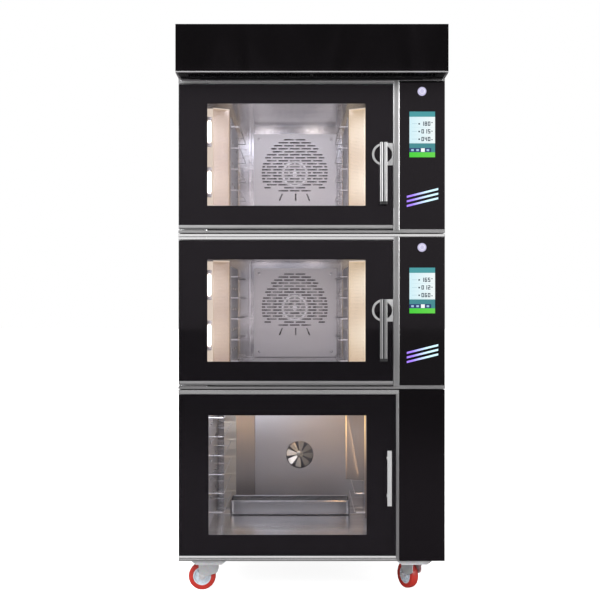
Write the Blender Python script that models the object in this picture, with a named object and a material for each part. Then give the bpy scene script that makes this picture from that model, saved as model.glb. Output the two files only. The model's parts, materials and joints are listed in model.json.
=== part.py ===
"""Bakery stack on castors: an extraction hood, two convection ovens and a proving cabinet.

Metres, +Z up. The origin is on the floor under the middle of the stack. +X is to the right
for someone standing at the doors, and -Y points from the doors towards that person.
"""

import math

import bmesh
import bpy
from mathutils import Matrix, Vector

# Whole stack
WIDTH = 0.960
DEPTH = 0.980
HALF = WIDTH / 2
BACK = DEPTH / 2
FRONT = -0.384            # face of the doors and of the control panels
SHELL_FRONT = -0.318      # front wall of each cabinet, behind its door
SHEET = 0.002             # cabinet sheet
GAP = 0.0005              # clearance between two pieces that meet
CENTRE_X = -0.082         # middle of every chamber

# Levels
CASTOR_HEIGHT = 0.125
PROVER_TOP = 0.741
OVEN_BASES = {"lower": 0.745, "upper": 1.307}
OVEN_HEIGHT = 0.558
HOOD_BASE = 1.8655
HOOD_TOP = 2.035

# Doors: a hollow folded frame, a printed pane in front and a gasket behind
DOOR_LEFT = -0.479
DOOR_BACK = -0.329
OVEN_DOOR_RIGHT = 0.293
PROVER_DOOR_RIGHT = 0.3035
PANE = 0.005
HINGE_X = -0.467
HINGE_Y = -0.353
HINGE_PIN = 0.005
HINGE_BORE = 0.0056

# Oven, as heights above the oven's own base
DOOR_LOW, DOOR_HIGH = 0.015, 0.5355
PANE_LOW, PANE_HIGH = 0.028, 0.535
PANEL_LOW, PANEL_HIGH = 0.013, 0.5465
LEDGE = 0.008
RAIL = 0.537
WINDOW_LOW, WINDOW_HIGH = 0.088, 0.474
WINDOW_LEFT, WINDOW_RIGHT = -0.385, 0.203
CHAMBER_LOW, CHAMBER_HIGH = 0.080, 0.478
CHAMBER_HALF = 0.306
CHAMBER_BACK = 0.405
LINER = 0.003             # chamber wall
POST_LEFT = 0.2945
PANEL_LEFT, PANEL_RIGHT = 0.3164, 0.4795
PANEL_DEPTH = 0.010
BUTTON_X, BUTTON_UP = 0.3974, 0.5095
BUTTON_RADIUS = 0.016
DISPLAY_LOW = (0.352, 0.2720)
DISPLAY_HIGH = (0.4443, 0.4365)
HANDLE_X, HANDLE_UP = 0.2572, 0.2825
HUB_RADIUS = 0.0315
LEVER_UP, LEVER_DOWN = 0.040, 0.182
FAN_X, FAN_UP = -0.064, 0.287
FAN_RADIUS = 0.118
GRILLE_RADIUS = 0.136
GRILLE_PITCH = 0.0123
BAFFLE_FRONT = 0.332
TRAY_PITCH = 0.079
TRAY_FIRST = 0.090
RACK_HALF = 0.221         # half the width between the outer faces of a tray rack
RACK_FRONT, RACK_BACK = -0.200, 0.320

# Proving cabinet, as heights above the floor
PROVER_DOOR_LOW, PROVER_DOOR_HIGH = 0.134, 0.7248
PROVER_PANE_LOW = 0.1443
PROVER_CHAMBER_LOW, PROVER_CHAMBER_HIGH = 0.205, 0.690
PROVER_WINDOW_LOW, PROVER_WINDOW_HIGH = 0.210, 0.658
PROVER_WINDOW_RIGHT = 0.208
PROVER_RAIL = 0.7255      # underside of the rail over the door
PROVER_POST_LEFT, PROVER_POST_RIGHT = 0.3043, 0.3145
PROVER_FLOOR = 0.005      # thickness of the cabinet's bottom edge
PROVER_FAN = (-0.043, 0.418)
PROVER_FAN_HOLE = 0.058
PROVER_PIVOT = (HINGE_X, HINGE_Y, 0.4294)
PROVER_TRAY_FIRST, PROVER_TRAY_PITCH = 0.2713, 0.0708
HANDLE_BAR_LOW = (0.2704, 0.3284)
HANDLE_BAR_HIGH = (0.2862, 0.5260)
HANDLE_STUDS = (0.360, 0.495)
HANDLE_STUD_X = 0.2783

# Castors
WHEEL_RADIUS = 0.050
TRAIL = 0.030
CASTOR_X = 0.372
CASTOR_FRONT, CASTOR_REAR = -0.280, 0.400
# The way each castor trails, in degrees about +Z from +X
CASTOR_HEADINGS = {"front_left": 180, "front_right": 120, "rear_left": 90, "rear_right": 112}

# Extraction hood
FASCIA_BACK = -0.478
EXHAUST = (0.0, 0.250)
EXHAUST_RADIUS = 0.075
INTAKE_LOW = (-0.450, -0.470)
INTAKE_HIGH = (0.450, -0.394)
FILTER_SLOTS = 14

FINISHES = {
    "brushed_steel": ((0.62, 0.62, 0.63), 0.32, 1.0, 1.0),
    "bright_steel": ((0.75, 0.75, 0.76), 0.20, 1.0, 1.0),
    "zinc": ((0.55, 0.57, 0.60), 0.40, 1.0, 1.0),
    "black_panel": ((0.012, 0.011, 0.013), 0.12, 0.0, 1.0),
    "clear_glass": ((0.80, 0.84, 0.84), 0.05, 0.0, 0.25),
    "lamp_cover": ((1.0, 0.86, 0.68), 0.35, 0.0, 1.0),
    "gasket_rubber": ((0.03, 0.03, 0.03), 0.70, 0.0, 1.0),
    "display_glass": ((0.55, 0.80, 0.85), 0.10, 0.0, 1.0),
    "button_cap": ((0.80, 0.78, 0.92), 0.25, 0.0, 1.0),
    "red_tyre": ((0.62, 0.04, 0.02), 0.45, 0.0, 1.0),
}


def clear_scene():
    for existing in list(bpy.data.objects):
        bpy.data.objects.remove(existing)


def give_material(piece, finish):
    colour, roughness, metallic, alpha = FINISHES[finish]
    material = bpy.data.materials.new(f"{piece.name}_{finish}")
    material.use_nodes = True
    shader = material.node_tree.nodes["Principled BSDF"]
    shader.inputs["Base Color"].default_value = (*colour, 1.0)
    shader.inputs["Roughness"].default_value = roughness
    shader.inputs["Metallic"].default_value = metallic
    shader.inputs["Alpha"].default_value = alpha
    piece.data.materials.append(material)


def place(name, bm, finish=None, origin=(0.0, 0.0, 0.0)):
    """Makes an object of a bmesh drawn in world coordinates, with its own origin at a chosen point."""
    bmesh.ops.recalc_face_normals(bm, faces=bm.faces)
    bmesh.ops.translate(bm, verts=bm.verts, vec=-Vector(origin))
    mesh = bpy.data.meshes.new(name)
    bm.to_mesh(mesh)
    bm.free()
    piece = bpy.data.objects.new(name, mesh)
    piece.location = origin
    bpy.context.scene.collection.objects.link(piece)
    if finish:
        give_material(piece, finish)
    return piece


def round_off(piece):
    """Shades a round piece smooth, and keeps its edges sharp."""
    piece.data.shade_smooth()
    piece.data.set_sharp_from_angle(angle=math.radians(40))


def blocks(*corners):
    """A bmesh of boxes, each given by its low and high corner."""
    bm = bmesh.new()
    for low, high in corners:
        size = Vector(high) - Vector(low)
        middle = Matrix.Translation((Vector(high) + Vector(low)) / 2)
        bmesh.ops.create_cube(bm, size=1.0, matrix=middle @ Matrix.Diagonal((*size, 1.0)))
    return bm


def turn_to(axis):
    """The rotation that brings +Z onto an axis named Y or Z."""
    return {"Y": Matrix.Rotation(-math.pi / 2, 4, "X"), "Z": Matrix.Identity(4)}[axis]


def rod(centre, radius, length, axis="Y", segments=24):
    """A bmesh of a round bar around its centre."""
    bm = bmesh.new()
    bmesh.ops.create_cone(
        bm, cap_ends=True, segments=segments, radius1=radius, radius2=radius, depth=length,
        matrix=Matrix.Translation(centre) @ turn_to(axis),
    )
    return bm


def turned(centre, profile, axis="Y", segments=24):
    """A bmesh spun around an axis from (radius, height) points that form a closed outline."""
    bm = bmesh.new()
    corners = [bm.verts.new((radius, 0.0, height)) for radius, height in profile]
    edges = [bm.edges.new((corner, corners[i - 1])) for i, corner in enumerate(corners)]
    bmesh.ops.spin(
        bm, geom=corners + edges, cent=(0, 0, 0), axis=(0, 0, 1), angle=2 * math.pi,
        steps=segments, use_merge=True,
    )
    bmesh.ops.remove_doubles(bm, verts=bm.verts, dist=1e-6)
    bmesh.ops.dissolve_degenerate(bm, edges=bm.edges, dist=1e-7)
    loose = [edge for edge in bm.edges if not edge.link_faces]
    bmesh.ops.delete(bm, geom=loose, context="EDGES")
    bmesh.ops.transform(bm, matrix=Matrix.Translation(centre) @ turn_to(axis), verts=bm.verts)
    return bm


def prism(outline, along, low, high):
    """A bmesh of a flat outline drawn out along Y or Z; the outline's points are (x, z) or (x, y)."""
    bm = bmesh.new()
    if along == "Y":
        corners = [bm.verts.new((x, low, z)) for x, z in outline]
        travel = Vector((0, high - low, 0))
    else:
        corners = [bm.verts.new((x, y, low)) for x, y in outline]
        travel = Vector((0, 0, high - low))
    face = bm.faces.new(corners)
    drawn = bmesh.ops.extrude_face_region(bm, geom=[face], use_keep_orig=True)
    moved = [part for part in drawn["geom"] if isinstance(part, bmesh.types.BMVert)]
    bmesh.ops.translate(bm, verts=moved, vec=travel)
    return bm


def combine(piece, bm, operation):
    """Adds a Boolean modifier whose other shape is drawn in world coordinates."""
    count = len(piece.modifiers) + 1
    other = place(f"{piece.name}_{operation.lower()}_{count}", bm)
    other.hide_render = True
    other.display_type = "WIRE"
    modifier = piece.modifiers.new(f"{operation.title()} {count}", "BOOLEAN")
    modifier.operation = operation
    modifier.solver = "EXACT"
    modifier.object = other


def cut(piece, bm):
    combine(piece, bm, "DIFFERENCE")


def join(piece, bm):
    combine(piece, bm, "UNION")


def cut_box(piece, low, high):
    cut(piece, blocks((low, high)))


def join_box(piece, low, high):
    join(piece, blocks((low, high)))


def mirrored(x):
    """The place of x on the other side of the chambers' middle."""
    return 2 * CENTRE_X - x


# Ovens


def oven_casing(tier, base):
    """Outer shell with the front rail, ledge, post and control bay, open where the chamber goes in."""
    top = base + OVEN_HEIGHT
    casing = place(f"{tier}_casing", blocks(((-HALF, FRONT, base), (HALF, BACK, top))), "brushed_steel")
    cut_box(casing, (-HALF - 0.01, FRONT - 0.01, base + LEDGE), (POST_LEFT, SHELL_FRONT, base + RAIL))
    cut_box(
        casing,
        (PANEL_LEFT - GAP, FRONT - 0.01, base + PANEL_LOW - GAP),
        (HALF + 0.01, FRONT + PANEL_DEPTH + GAP, base + PANEL_HIGH + GAP),
    )
    cut_box(
        casing,
        (PANEL_LEFT + SHEET, FRONT, base + PANEL_LOW + SHEET),
        (HALF - SHEET, SHELL_FRONT - SHEET, base + PANEL_HIGH - SHEET),
    )
    cut_box(
        casing,
        (-HALF + SHEET, SHELL_FRONT + SHEET, base + SHEET),
        (HALF - SHEET, BACK - SHEET, top - SHEET),
    )
    mouth = CHAMBER_HALF + LINER + 2 * GAP
    cut_box(
        casing,
        (CENTRE_X - mouth, SHELL_FRONT - 0.01, base + CHAMBER_LOW - LINER - 2 * GAP),
        (CENTRE_X + mouth, SHELL_FRONT + 0.02, base + CHAMBER_HIGH + LINER + 2 * GAP),
    )
    cut_box(  # the hollow of the front rail, open to the shell behind it
        casing,
        (HINGE_X + 0.103, FRONT + SHEET, base + RAIL + SHEET),
        (POST_LEFT, SHELL_FRONT + 0.02, top - SHEET),
    )
    cut_box(  # seat of the upper hinge block
        casing,
        (-HALF - 0.01, FRONT - 0.01, base + RAIL - 0.001),
        (HINGE_X + 0.0965, SHELL_FRONT - 0.011, base + RAIL + 0.0165),
    )
    join(casing, rod((FAN_X, 0.4565, base + FAN_UP), 0.045, 0.063))       # fan motor
    cut(casing, rod((FAN_X, 0.430, base + FAN_UP), 0.0078, 0.032))        # motor bearing
    return casing


def oven_chamber(tier, base):
    """Stainless liner with a flange that the door gasket closes on."""
    low, high = base + CHAMBER_LOW, base + CHAMBER_HIGH
    outer = CHAMBER_HALF + LINER
    chamber = place(
        f"{tier}_chamber",
        blocks((
            (CENTRE_X - outer, SHELL_FRONT - 0.001, low - LINER),
            (CENTRE_X + outer, CHAMBER_BACK + LINER, high + LINER),
        )),
        "brushed_steel",
    )
    join_box(
        chamber,
        (CENTRE_X - 0.370, SHELL_FRONT - 0.0023, base + 0.048),
        (CENTRE_X + 0.358, SHELL_FRONT - GAP, base + 0.512),
    )
    cut_box(
        chamber,
        (CENTRE_X - CHAMBER_HALF, SHELL_FRONT - 0.02, low),
        (CENTRE_X + CHAMBER_HALF, CHAMBER_BACK, high),
    )
    cut(chamber, rod((FAN_X, CHAMBER_BACK, base + FAN_UP), 0.009, 0.030))
    return chamber


def grille_slots(base):
    """Rows of air slots inside a circle in front of the fan."""
    rows = int(GRILLE_RADIUS / GRILLE_PITCH)
    slots = []
    for row in range(-rows + 1, rows):
        up = row * GRILLE_PITCH
        reach = math.sqrt(GRILLE_RADIUS ** 2 - up ** 2)
        height = base + FAN_UP + up
        slots.append((
            (FAN_X - reach, BAFFLE_FRONT - 0.01, height - 0.0025),
            (FAN_X + reach, BAFFLE_FRONT + 0.01, height + 0.0025),
        ))
    return blocks(*slots)


def oven_baffle(tier, base):
    """Pan-shaped cover over the fan and the heating ring, with its air slots."""
    left, right = -0.235, 0.111
    low, high = base + CHAMBER_LOW + 0.003, base + 0.452
    back = CHAMBER_BACK - GAP
    baffle = place(
        f"{tier}_fan_baffle", blocks(((left, BAFFLE_FRONT, low), (right, back, high))), "brushed_steel"
    )
    cut_box(
        baffle,
        (left + SHEET, BAFFLE_FRONT + SHEET, low + SHEET),
        (right - SHEET, back + 0.01, high - SHEET),
    )
    cut(baffle, grille_slots(base))
    return baffle


def fan_blades(x, z, count, inner, outer, front, back):
    """Straight radial blades standing on a wheel that turns about Y."""
    bm = blocks(*(((inner, front, -0.0015), (outer, back, 0.0015)) for _ in range(count)))
    corners_each = 8
    bm.verts.ensure_lookup_table()
    for blade in range(count):
        turn = Matrix.Rotation(2 * math.pi * blade / count, 4, "Y")
        corners = bm.verts[blade * corners_each:(blade + 1) * corners_each]
        bmesh.ops.transform(bm, matrix=Matrix.Translation((x, 0, z)) @ turn, verts=corners)
    return bm


def oven_fan(tier, base):
    """Centrifugal wheel on its shaft, behind the baffle."""
    centre = (FAN_X, 0.0, base + FAN_UP)
    profile = [
        (0.0, 0.352), (0.022, 0.352), (0.022, 0.394), (FAN_RADIUS, 0.394),
        (FAN_RADIUS, 0.397), (0.0068, 0.397), (0.0068, 0.440), (0.0, 0.440),
    ]
    fan = place(f"{tier}_fan_wheel", turned(centre, profile), "bright_steel", origin=centre)
    join(fan, fan_blades(FAN_X, base + FAN_UP, 10, 0.062, 0.116, 0.350, 0.395))
    round_off(fan)
    return fan


def oven_heater(tier, base):
    """Ring element around the fan wheel, with its terminal block."""
    ring_radius, tube = 0.145, 0.005
    profile = [
        (ring_radius + tube * math.cos(math.radians(a)), tube * math.sin(math.radians(a)))
        for a in range(0, 360, 60)
    ]
    heater = place(
        f"{tier}_heating_ring",
        turned((FAN_X, 0.372, base + FAN_UP), profile, segments=28),
        "bright_steel",
    )
    join_box(
        heater,
        (FAN_X - 0.020, 0.368, base + FAN_UP - ring_radius - 0.014),
        (FAN_X + 0.020, CHAMBER_BACK - GAP, base + FAN_UP - ring_radius + 0.003),
    )
    round_off(heater)
    return heater


def rack_outline(half, floor, first, pitch, levels, reach, thickness):
    """Cross-section of a tray rack: two side sheets with inward runners, joined under the lowest tray."""
    runners = []
    for level in range(levels):
        height = first + level * pitch
        runners += [(half - thickness, height), (half - reach, height)]
        runners += [(half - reach, height + thickness), (half - thickness, height + thickness)]
    top = first + levels * pitch - pitch / 2
    right = [(half, floor), (half, top), (half - thickness, top)]
    right += list(reversed(runners)) + [(half - thickness, floor + thickness)]
    left = [(-x, z) for x, z in reversed(right)]
    return [(CENTRE_X + x, z) for x, z in right + left]


def tray_rack(name, outline, floor, half):
    """Tray rack with its floor sheet cut back to two cross bars."""
    rack = place(name, prism(outline, "Y", RACK_FRONT, RACK_BACK), "bright_steel")
    for low_y, high_y in ((RACK_FRONT - 0.01, -0.120), (-0.100, 0.240), (0.260, RACK_BACK + 0.01)):
        cut_box(
            rack,
            (CENTRE_X - half + 0.004, low_y, floor - 0.01),
            (CENTRE_X + half - 0.004, high_y, floor + 0.004),
        )
    return rack


def oven_rack(tier, base):
    floor = base + CHAMBER_LOW + 0.003
    outline = rack_outline(RACK_HALF, floor, base + TRAY_FIRST, TRAY_PITCH, 5, 0.035, 0.002)
    return tray_rack(f"{tier}_tray_rack", outline, floor, RACK_HALF)


def lamp_cover(name, low, high, side, bulbs):
    """Slanted reflector in the front corner of a chamber, with lamps standing in front of it."""
    wall, bend, tip = -0.3875, -0.362, -0.304
    outline = [
        (wall, -0.288), (bend, -0.288), (tip, -0.246), (tip - 0.002, -0.243), (bend - 0.001, -0.285),
        (wall, -0.285),
    ]
    if side == "right":
        outline = [(mirrored(x), y) for x, y in outline]
    cover = place(name, prism(outline, "Z", low, high), "lamp_cover")
    lamp_x = -0.375 if side == "left" else mirrored(-0.375)
    for middle, length in bulbs:
        join(cover, rod((lamp_x, -0.293, middle), 0.008, length, axis="Z", segments=12))
    return cover


def oven_control_panel(tier, base):
    """Black glass cover of the control bay, open for the power button and the display."""
    panel = place(
        f"{tier}_control_panel",
        blocks((
            (PANEL_LEFT, FRONT, base + PANEL_LOW),
            (PANEL_RIGHT, FRONT + PANEL_DEPTH, base + PANEL_HIGH),
        )),
        "black_panel",
    )
    cut(panel, rod((BUTTON_X, FRONT, base + BUTTON_UP), BUTTON_RADIUS + GAP, 0.040, segments=32))
    cut_box(
        panel,
        (DISPLAY_LOW[0] - GAP, FRONT - 0.01, base + DISPLAY_LOW[1] - GAP),
        (DISPLAY_HIGH[0] + GAP, FRONT + 0.02, base + DISPLAY_HIGH[1] + GAP),
    )
    return panel


def oven_display(tier, base):
    """Touch screen with a flange that holds it behind the control panel."""
    back = FRONT + PANEL_DEPTH
    display = place(
        f"{tier}_display",
        blocks((
            (DISPLAY_LOW[0], FRONT + 0.0006, base + DISPLAY_LOW[1]),
            (DISPLAY_HIGH[0], back + 0.004, base + DISPLAY_HIGH[1]),
        )),
        "display_glass",
    )
    join_box(
        display,
        (DISPLAY_LOW[0] - 0.008, back + GAP, base + DISPLAY_LOW[1] - 0.008),
        (DISPLAY_HIGH[0] + 0.008, back + 0.008, base + DISPLAY_HIGH[1] + 0.008),
    )
    return display


def oven_button(tier, base):
    """Power button: a domed cap with a collar that keeps it behind the panel."""
    centre = (BUTTON_X, FRONT, base + BUTTON_UP)
    collar = PANEL_DEPTH + GAP
    profile = [
        (0.0, -0.0040), (0.013, -0.0035), (BUTTON_RADIUS - GAP, -0.0020), (BUTTON_RADIUS - GAP, collar),
        (BUTTON_RADIUS + 0.003, collar), (BUTTON_RADIUS + 0.003, collar + 0.004), (0.0, collar + 0.004),
    ]
    button = place(f"{tier}_power_button", turned(centre, profile, segments=20), "button_cap", origin=centre)
    round_off(button)
    return button


def hinge_body(name, low, high, rail):
    """Hinge of one door: a plate under the door, a block in the rail above it, and the pin between."""
    nose = [
        (DOOR_LEFT, FRONT + 0.030), (DOOR_LEFT + 0.008, FRONT - 0.002), (HINGE_X + 0.070, FRONT - 0.002),
        (HINGE_X + 0.095, FRONT + 0.016), (HINGE_X + 0.095, SHELL_FRONT - 0.012),
        (DOOR_LEFT, SHELL_FRONT - 0.012),
    ]
    hinge = place(name, prism(nose, "Z", low + 0.0004, low + 0.0036), "bright_steel")
    join(hinge, prism(nose, "Z", rail + 0.0008, rail + 0.0110))
    reach = high + 0.006 - low
    join(hinge, rod((HINGE_X, HINGE_Y, low + reach / 2 + 0.001), HINGE_PIN, reach, axis="Z", segments=16))
    return hinge


def hollow_frame(frame, left, right, low, high, window):
    """Empties the stiles and rails of a door frame, and opens the hollow downwards with two weep slots."""
    front, back = FRONT + PANE + GAP + SHEET, DOOR_BACK - SHEET
    (window_left, window_low), (window_right, window_high) = window
    inner_low, inner_high = low + SHEET, high - SHEET
    cut_box(frame, (left, front, inner_low), (window_left - SHEET, back, inner_high))
    cut_box(frame, (window_right + SHEET, front, inner_low), (right - SHEET, back, inner_high))
    cut_box(frame, (left + 0.001, front, inner_low), (right - SHEET - 0.001, back, window_low - SHEET))
    cut_box(frame, (left + 0.001, front, window_high + SHEET), (right - SHEET - 0.001, back, inner_high))
    for x in (left + 0.060, right - 0.100):
        cut_box(frame, (x, front + 0.008, low - 0.01), (x + 0.040, back - 0.008, inner_low + 0.005))


def door_frame(name, right, low, high, pane_low, window, pivot):
    """Folded door frame: a rebate for the front pane over the bottom trim, a window and the pin bore."""
    frame = place(
        name, blocks(((DOOR_LEFT, FRONT, low), (right, DOOR_BACK, high))), "brushed_steel", origin=pivot
    )
    cut_box(
        frame,
        (DOOR_LEFT - 0.01, FRONT - 0.01, pane_low - GAP),
        (right + 0.01, FRONT + PANE + GAP, high + 0.01),
    )
    (left, window_low), (window_right, window_high) = window
    cut_box(frame, (left, FRONT - 0.01, window_low), (window_right, DOOR_BACK + 0.01, window_high))
    middle = (HINGE_X, HINGE_Y, (low + high) / 2)
    cut(frame, rod(middle, HINGE_BORE, high - low + 0.02, axis="Z", segments=16))
    hollow_frame(frame, HINGE_X + 0.009, right, low, high, window)
    return frame


def door_pane(name, left, right, low, high, front, pivot, finish):
    return place(name, blocks(((left, front, low), (right, front + PANE, high))), finish, origin=pivot)


def door_gasket(name, low, high, pivot):
    """Rubber ring on the back of the door, closing on the chamber's flange."""
    left, right = CENTRE_X - 0.364, CENTRE_X + 0.352
    band = 0.014
    back = SHELL_FRONT - 0.0023 - GAP
    gasket = place(
        name, blocks(((left, DOOR_BACK + GAP, low), (right, back, high))), "gasket_rubber", origin=pivot
    )
    cut_box(gasket, (left + band, DOOR_BACK - 0.01, low + band), (right - band, back + 0.01, high - band))
    return gasket


def latch_plate(tier, base, pivot):
    """Steel plate around the handle's hub: round on the window side, square towards the door's edge."""
    radius, up = 0.040, base + HANDLE_UP
    outline = [
        (HANDLE_X + radius * math.cos(math.radians(a)), up + radius * math.sin(math.radians(a)))
        for a in range(90, 271, 12)
    ]
    outline += [(OVEN_DOOR_RIGHT, up - radius), (OVEN_DOOR_RIGHT, up + radius)]
    plate = place(
        f"{tier}_latch_plate",
        prism(outline, "Y", FRONT - 0.0035, FRONT - GAP),
        "bright_steel",
        origin=pivot,
    )
    cut(plate, rod((HANDLE_X, FRONT, up), HUB_RADIUS + 0.0008, 0.030, segments=24))
    return plate


def oven_handle(tier, base):
    """Lever on a round hub, with the spindle that runs into the door."""
    up = base + HANDLE_UP
    centre = (HANDLE_X, FRONT, up)
    profile = [
        (0.0, -0.026), (0.011, -0.026), (0.011, -0.004), (HUB_RADIUS, -0.004), (HUB_RADIUS, -GAP),
        (0.006, -GAP), (0.006, 0.038), (0.0, 0.038),
    ]
    handle = place(f"{tier}_door_handle", turned(centre, profile, segments=24), "bright_steel", origin=centre)
    join_box(
        handle,
        (HANDLE_X - 0.0133, FRONT - 0.036, up - LEVER_DOWN),
        (HANDLE_X + 0.0133, FRONT - 0.024, up + LEVER_UP),
    )
    round_off(handle)
    return handle


def oven_door(tier, base):
    """Everything that swings with one oven door, each piece with its origin on the hinge line."""
    pivot = (HINGE_X, HINGE_Y, base + (DOOR_LOW + DOOR_HIGH) / 2)
    spindle = (HANDLE_X, FRONT, base + HANDLE_UP)
    window = ((WINDOW_LEFT, base + WINDOW_LOW), (WINDOW_RIGHT, base + WINDOW_HIGH))
    frame = door_frame(
        f"{tier}_door_frame", OVEN_DOOR_RIGHT, base + DOOR_LOW, base + DOOR_HIGH, base + PANE_LOW, window,
        pivot,
    )
    cut(frame, rod(spindle, 0.0068, 0.090, segments=16))
    pane = door_pane(
        f"{tier}_door_outer_glass", DOOR_LEFT, OVEN_DOOR_RIGHT, base + PANE_LOW, base + PANE_HIGH, FRONT,
        pivot, "black_panel",
    )
    cut(pane, rod(spindle, 0.0075, 0.030, segments=16))
    door_pane(
        f"{tier}_door_inner_glass", WINDOW_LEFT + GAP, WINDOW_RIGHT - GAP, base + WINDOW_LOW + GAP,
        base + WINDOW_HIGH - GAP, -0.338, pivot, "clear_glass",
    )
    door_gasket(f"{tier}_door_gasket", base + 0.052, base + 0.508, pivot)
    latch_plate(tier, base, pivot)
    oven_handle(tier, base)


def oven(tier, base):
    oven_casing(tier, base)
    oven_chamber(tier, base)
    oven_baffle(tier, base)
    oven_fan(tier, base)
    oven_heater(tier, base)
    oven_rack(tier, base)
    bulbs = [(base + 0.375, 0.072), (base + 0.190, 0.072)]
    for side in ("left", "right"):
        lamp_cover(f"{tier}_lamp_{side}", base + 0.086, base + 0.462, side, bulbs)
    oven_control_panel(tier, base)
    oven_display(tier, base)
    oven_button(tier, base)
    hinge_body(f"{tier}_door_hinge", base + LEDGE, base + DOOR_HIGH, base + RAIL)
    oven_door(tier, base)


# Proving cabinet


def prover_casing():
    """Outer shell of the proving cabinet, with the castor plates under its floor."""
    low, top = CASTOR_HEIGHT, PROVER_TOP
    casing = place("prover_casing", blocks(((-HALF, FRONT, low), (HALF, BACK, top))), "brushed_steel")
    cut_box(
        casing,
        (-HALF - 0.01, FRONT - 0.01, low + PROVER_FLOOR),
        (PROVER_POST_LEFT, SHELL_FRONT, PROVER_RAIL),
    )
    cut_box(  # seat of the side panel
        casing,
        (PROVER_POST_RIGHT, FRONT - 0.01, low - 0.01),
        (HALF + 0.01, FRONT + 0.0125, top + 0.01),
    )
    cut_box(
        casing,
        (PROVER_POST_RIGHT + SHEET, FRONT, low + PROVER_FLOOR),
        (HALF - SHEET, SHELL_FRONT - SHEET, top - PROVER_FLOOR),
    )
    cut_box(
        casing,
        (-HALF + SHEET, SHELL_FRONT + SHEET, low + SHEET),
        (HALF - SHEET, BACK - SHEET, top - SHEET),
    )
    mouth = CHAMBER_HALF + LINER + 2 * GAP
    cut_box(
        casing,
        (CENTRE_X - mouth, SHELL_FRONT - 0.01, PROVER_CHAMBER_LOW - LINER - 2 * GAP),
        (CENTRE_X + mouth, SHELL_FRONT + 0.02, PROVER_CHAMBER_HIGH + LINER + 2 * GAP),
    )
    cut_box(  # seat of the upper hinge block
        casing,
        (-HALF - 0.01, FRONT - 0.01, PROVER_RAIL - 0.0005),
        (HINGE_X + 0.0965, SHELL_FRONT - 0.011, top - 0.002),
    )
    for x in (-CASTOR_X, CASTOR_X):
        for y in (CASTOR_FRONT, CASTOR_REAR):
            join_box(casing, (x - 0.048, y - 0.042, low - 0.004), (x + 0.048, y + 0.042, low + 0.001))
            cut(casing, rod((x, y, low), 0.0068, 0.030, axis="Z", segments=16))
    x, z = PROVER_FAN
    join(casing, rod((x, 0.4415, z), 0.035, 0.093))          # fan motor
    cut(casing, rod((x, 0.400, z), 0.0058, 0.032, segments=16))
    return casing


def prover_chamber():
    """Liner of the proving chamber, with the round fan opening in its back wall."""
    outer = CHAMBER_HALF + LINER
    low, high = PROVER_CHAMBER_LOW, PROVER_CHAMBER_HIGH
    chamber = place(
        "prover_chamber",
        blocks((
            (CENTRE_X - outer, SHELL_FRONT - 0.001, low - LINER),
            (CENTRE_X + outer, BAFFLE_FRONT + SHEET, high + LINER),
        )),
        "brushed_steel",
    )
    join_box(
        chamber,
        (CENTRE_X - 0.370, SHELL_FRONT - 0.0023, low - 0.029),
        (CENTRE_X + 0.358, SHELL_FRONT - GAP, high + 0.022),
    )
    cut_box(
        chamber,
        (CENTRE_X - CHAMBER_HALF, SHELL_FRONT - 0.02, low),
        (CENTRE_X + CHAMBER_HALF, BAFFLE_FRONT, high),
    )
    x, z = PROVER_FAN
    cut(chamber, rod((x, BAFFLE_FRONT, z), PROVER_FAN_HOLE, 0.040, segments=32))
    return chamber


def prover_fan():
    x, z = PROVER_FAN
    centre = (x, 0.0, z)
    profile = [
        (0.0, 0.337), (0.014, 0.337), (0.014, 0.362), (0.052, 0.362), (0.052, 0.364), (0.005, 0.364),
        (0.005, 0.408), (0.0, 0.408),
    ]
    fan = place("prover_fan_wheel", turned(centre, profile), "bright_steel", origin=centre)
    join(fan, fan_blades(x, z, 8, 0.012, 0.050, 0.341, 0.363))
    round_off(fan)
    return fan


def prover_rack():
    half = CHAMBER_HALF - GAP
    floor = PROVER_CHAMBER_LOW + 0.0006
    outline = rack_outline(half, floor, PROVER_TRAY_FIRST, PROVER_TRAY_PITCH, 6, 0.060, 0.002)
    return tray_rack("prover_tray_rack", outline, floor, half)


def prover_water_tray():
    """Evaporation tray on the chamber floor, under the fan."""
    low = PROVER_CHAMBER_LOW + 0.0032
    tray = place(
        "prover_water_tray",
        blocks(((-0.320, 0.100, low), (0.156, 0.236, low + 0.045))),
        "brushed_steel",
    )
    cut_box(tray, (-0.317, 0.103, low + 0.003), (0.153, 0.233, low + 0.060))
    return tray


def prover_side_panel():
    return place(
        "prover_side_panel",
        blocks((
            (PROVER_POST_RIGHT + GAP, FRONT, CASTOR_HEIGHT),
            (PANEL_RIGHT, FRONT + 0.012, PROVER_TOP + 0.0015),
        )),
        "black_panel",
    )


def prover_handle():
    """Flat bar on two studs that run through the pane into the frame."""
    bar = place(
        "prover_door_handle",
        blocks((
            (HANDLE_BAR_LOW[0], FRONT - 0.036, HANDLE_BAR_LOW[1]),
            (HANDLE_BAR_HIGH[0], FRONT - 0.028, HANDLE_BAR_HIGH[1]),
        )),
        "bright_steel",
        origin=PROVER_PIVOT,
    )
    for height in HANDLE_STUDS:
        join(bar, rod((HANDLE_STUD_X, FRONT - 0.006, height), 0.0045, 0.048, segments=16))
    return bar


def prover_door():
    window = ((WINDOW_LEFT, PROVER_WINDOW_LOW), (PROVER_WINDOW_RIGHT, PROVER_WINDOW_HIGH))
    frame = door_frame(
        "prover_door_frame", PROVER_DOOR_RIGHT, PROVER_DOOR_LOW, PROVER_DOOR_HIGH, PROVER_PANE_LOW, window,
        PROVER_PIVOT,
    )
    pane = door_pane(
        "prover_door_glass", DOOR_LEFT, PROVER_DOOR_RIGHT, PROVER_PANE_LOW, 0.7245, FRONT, PROVER_PIVOT,
        "black_panel",
    )
    for piece in (frame, pane):
        for height in HANDLE_STUDS:
            cut(piece, rod((HANDLE_STUD_X, FRONT, height), 0.0052, 0.042, segments=16))
    prover_handle()


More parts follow.
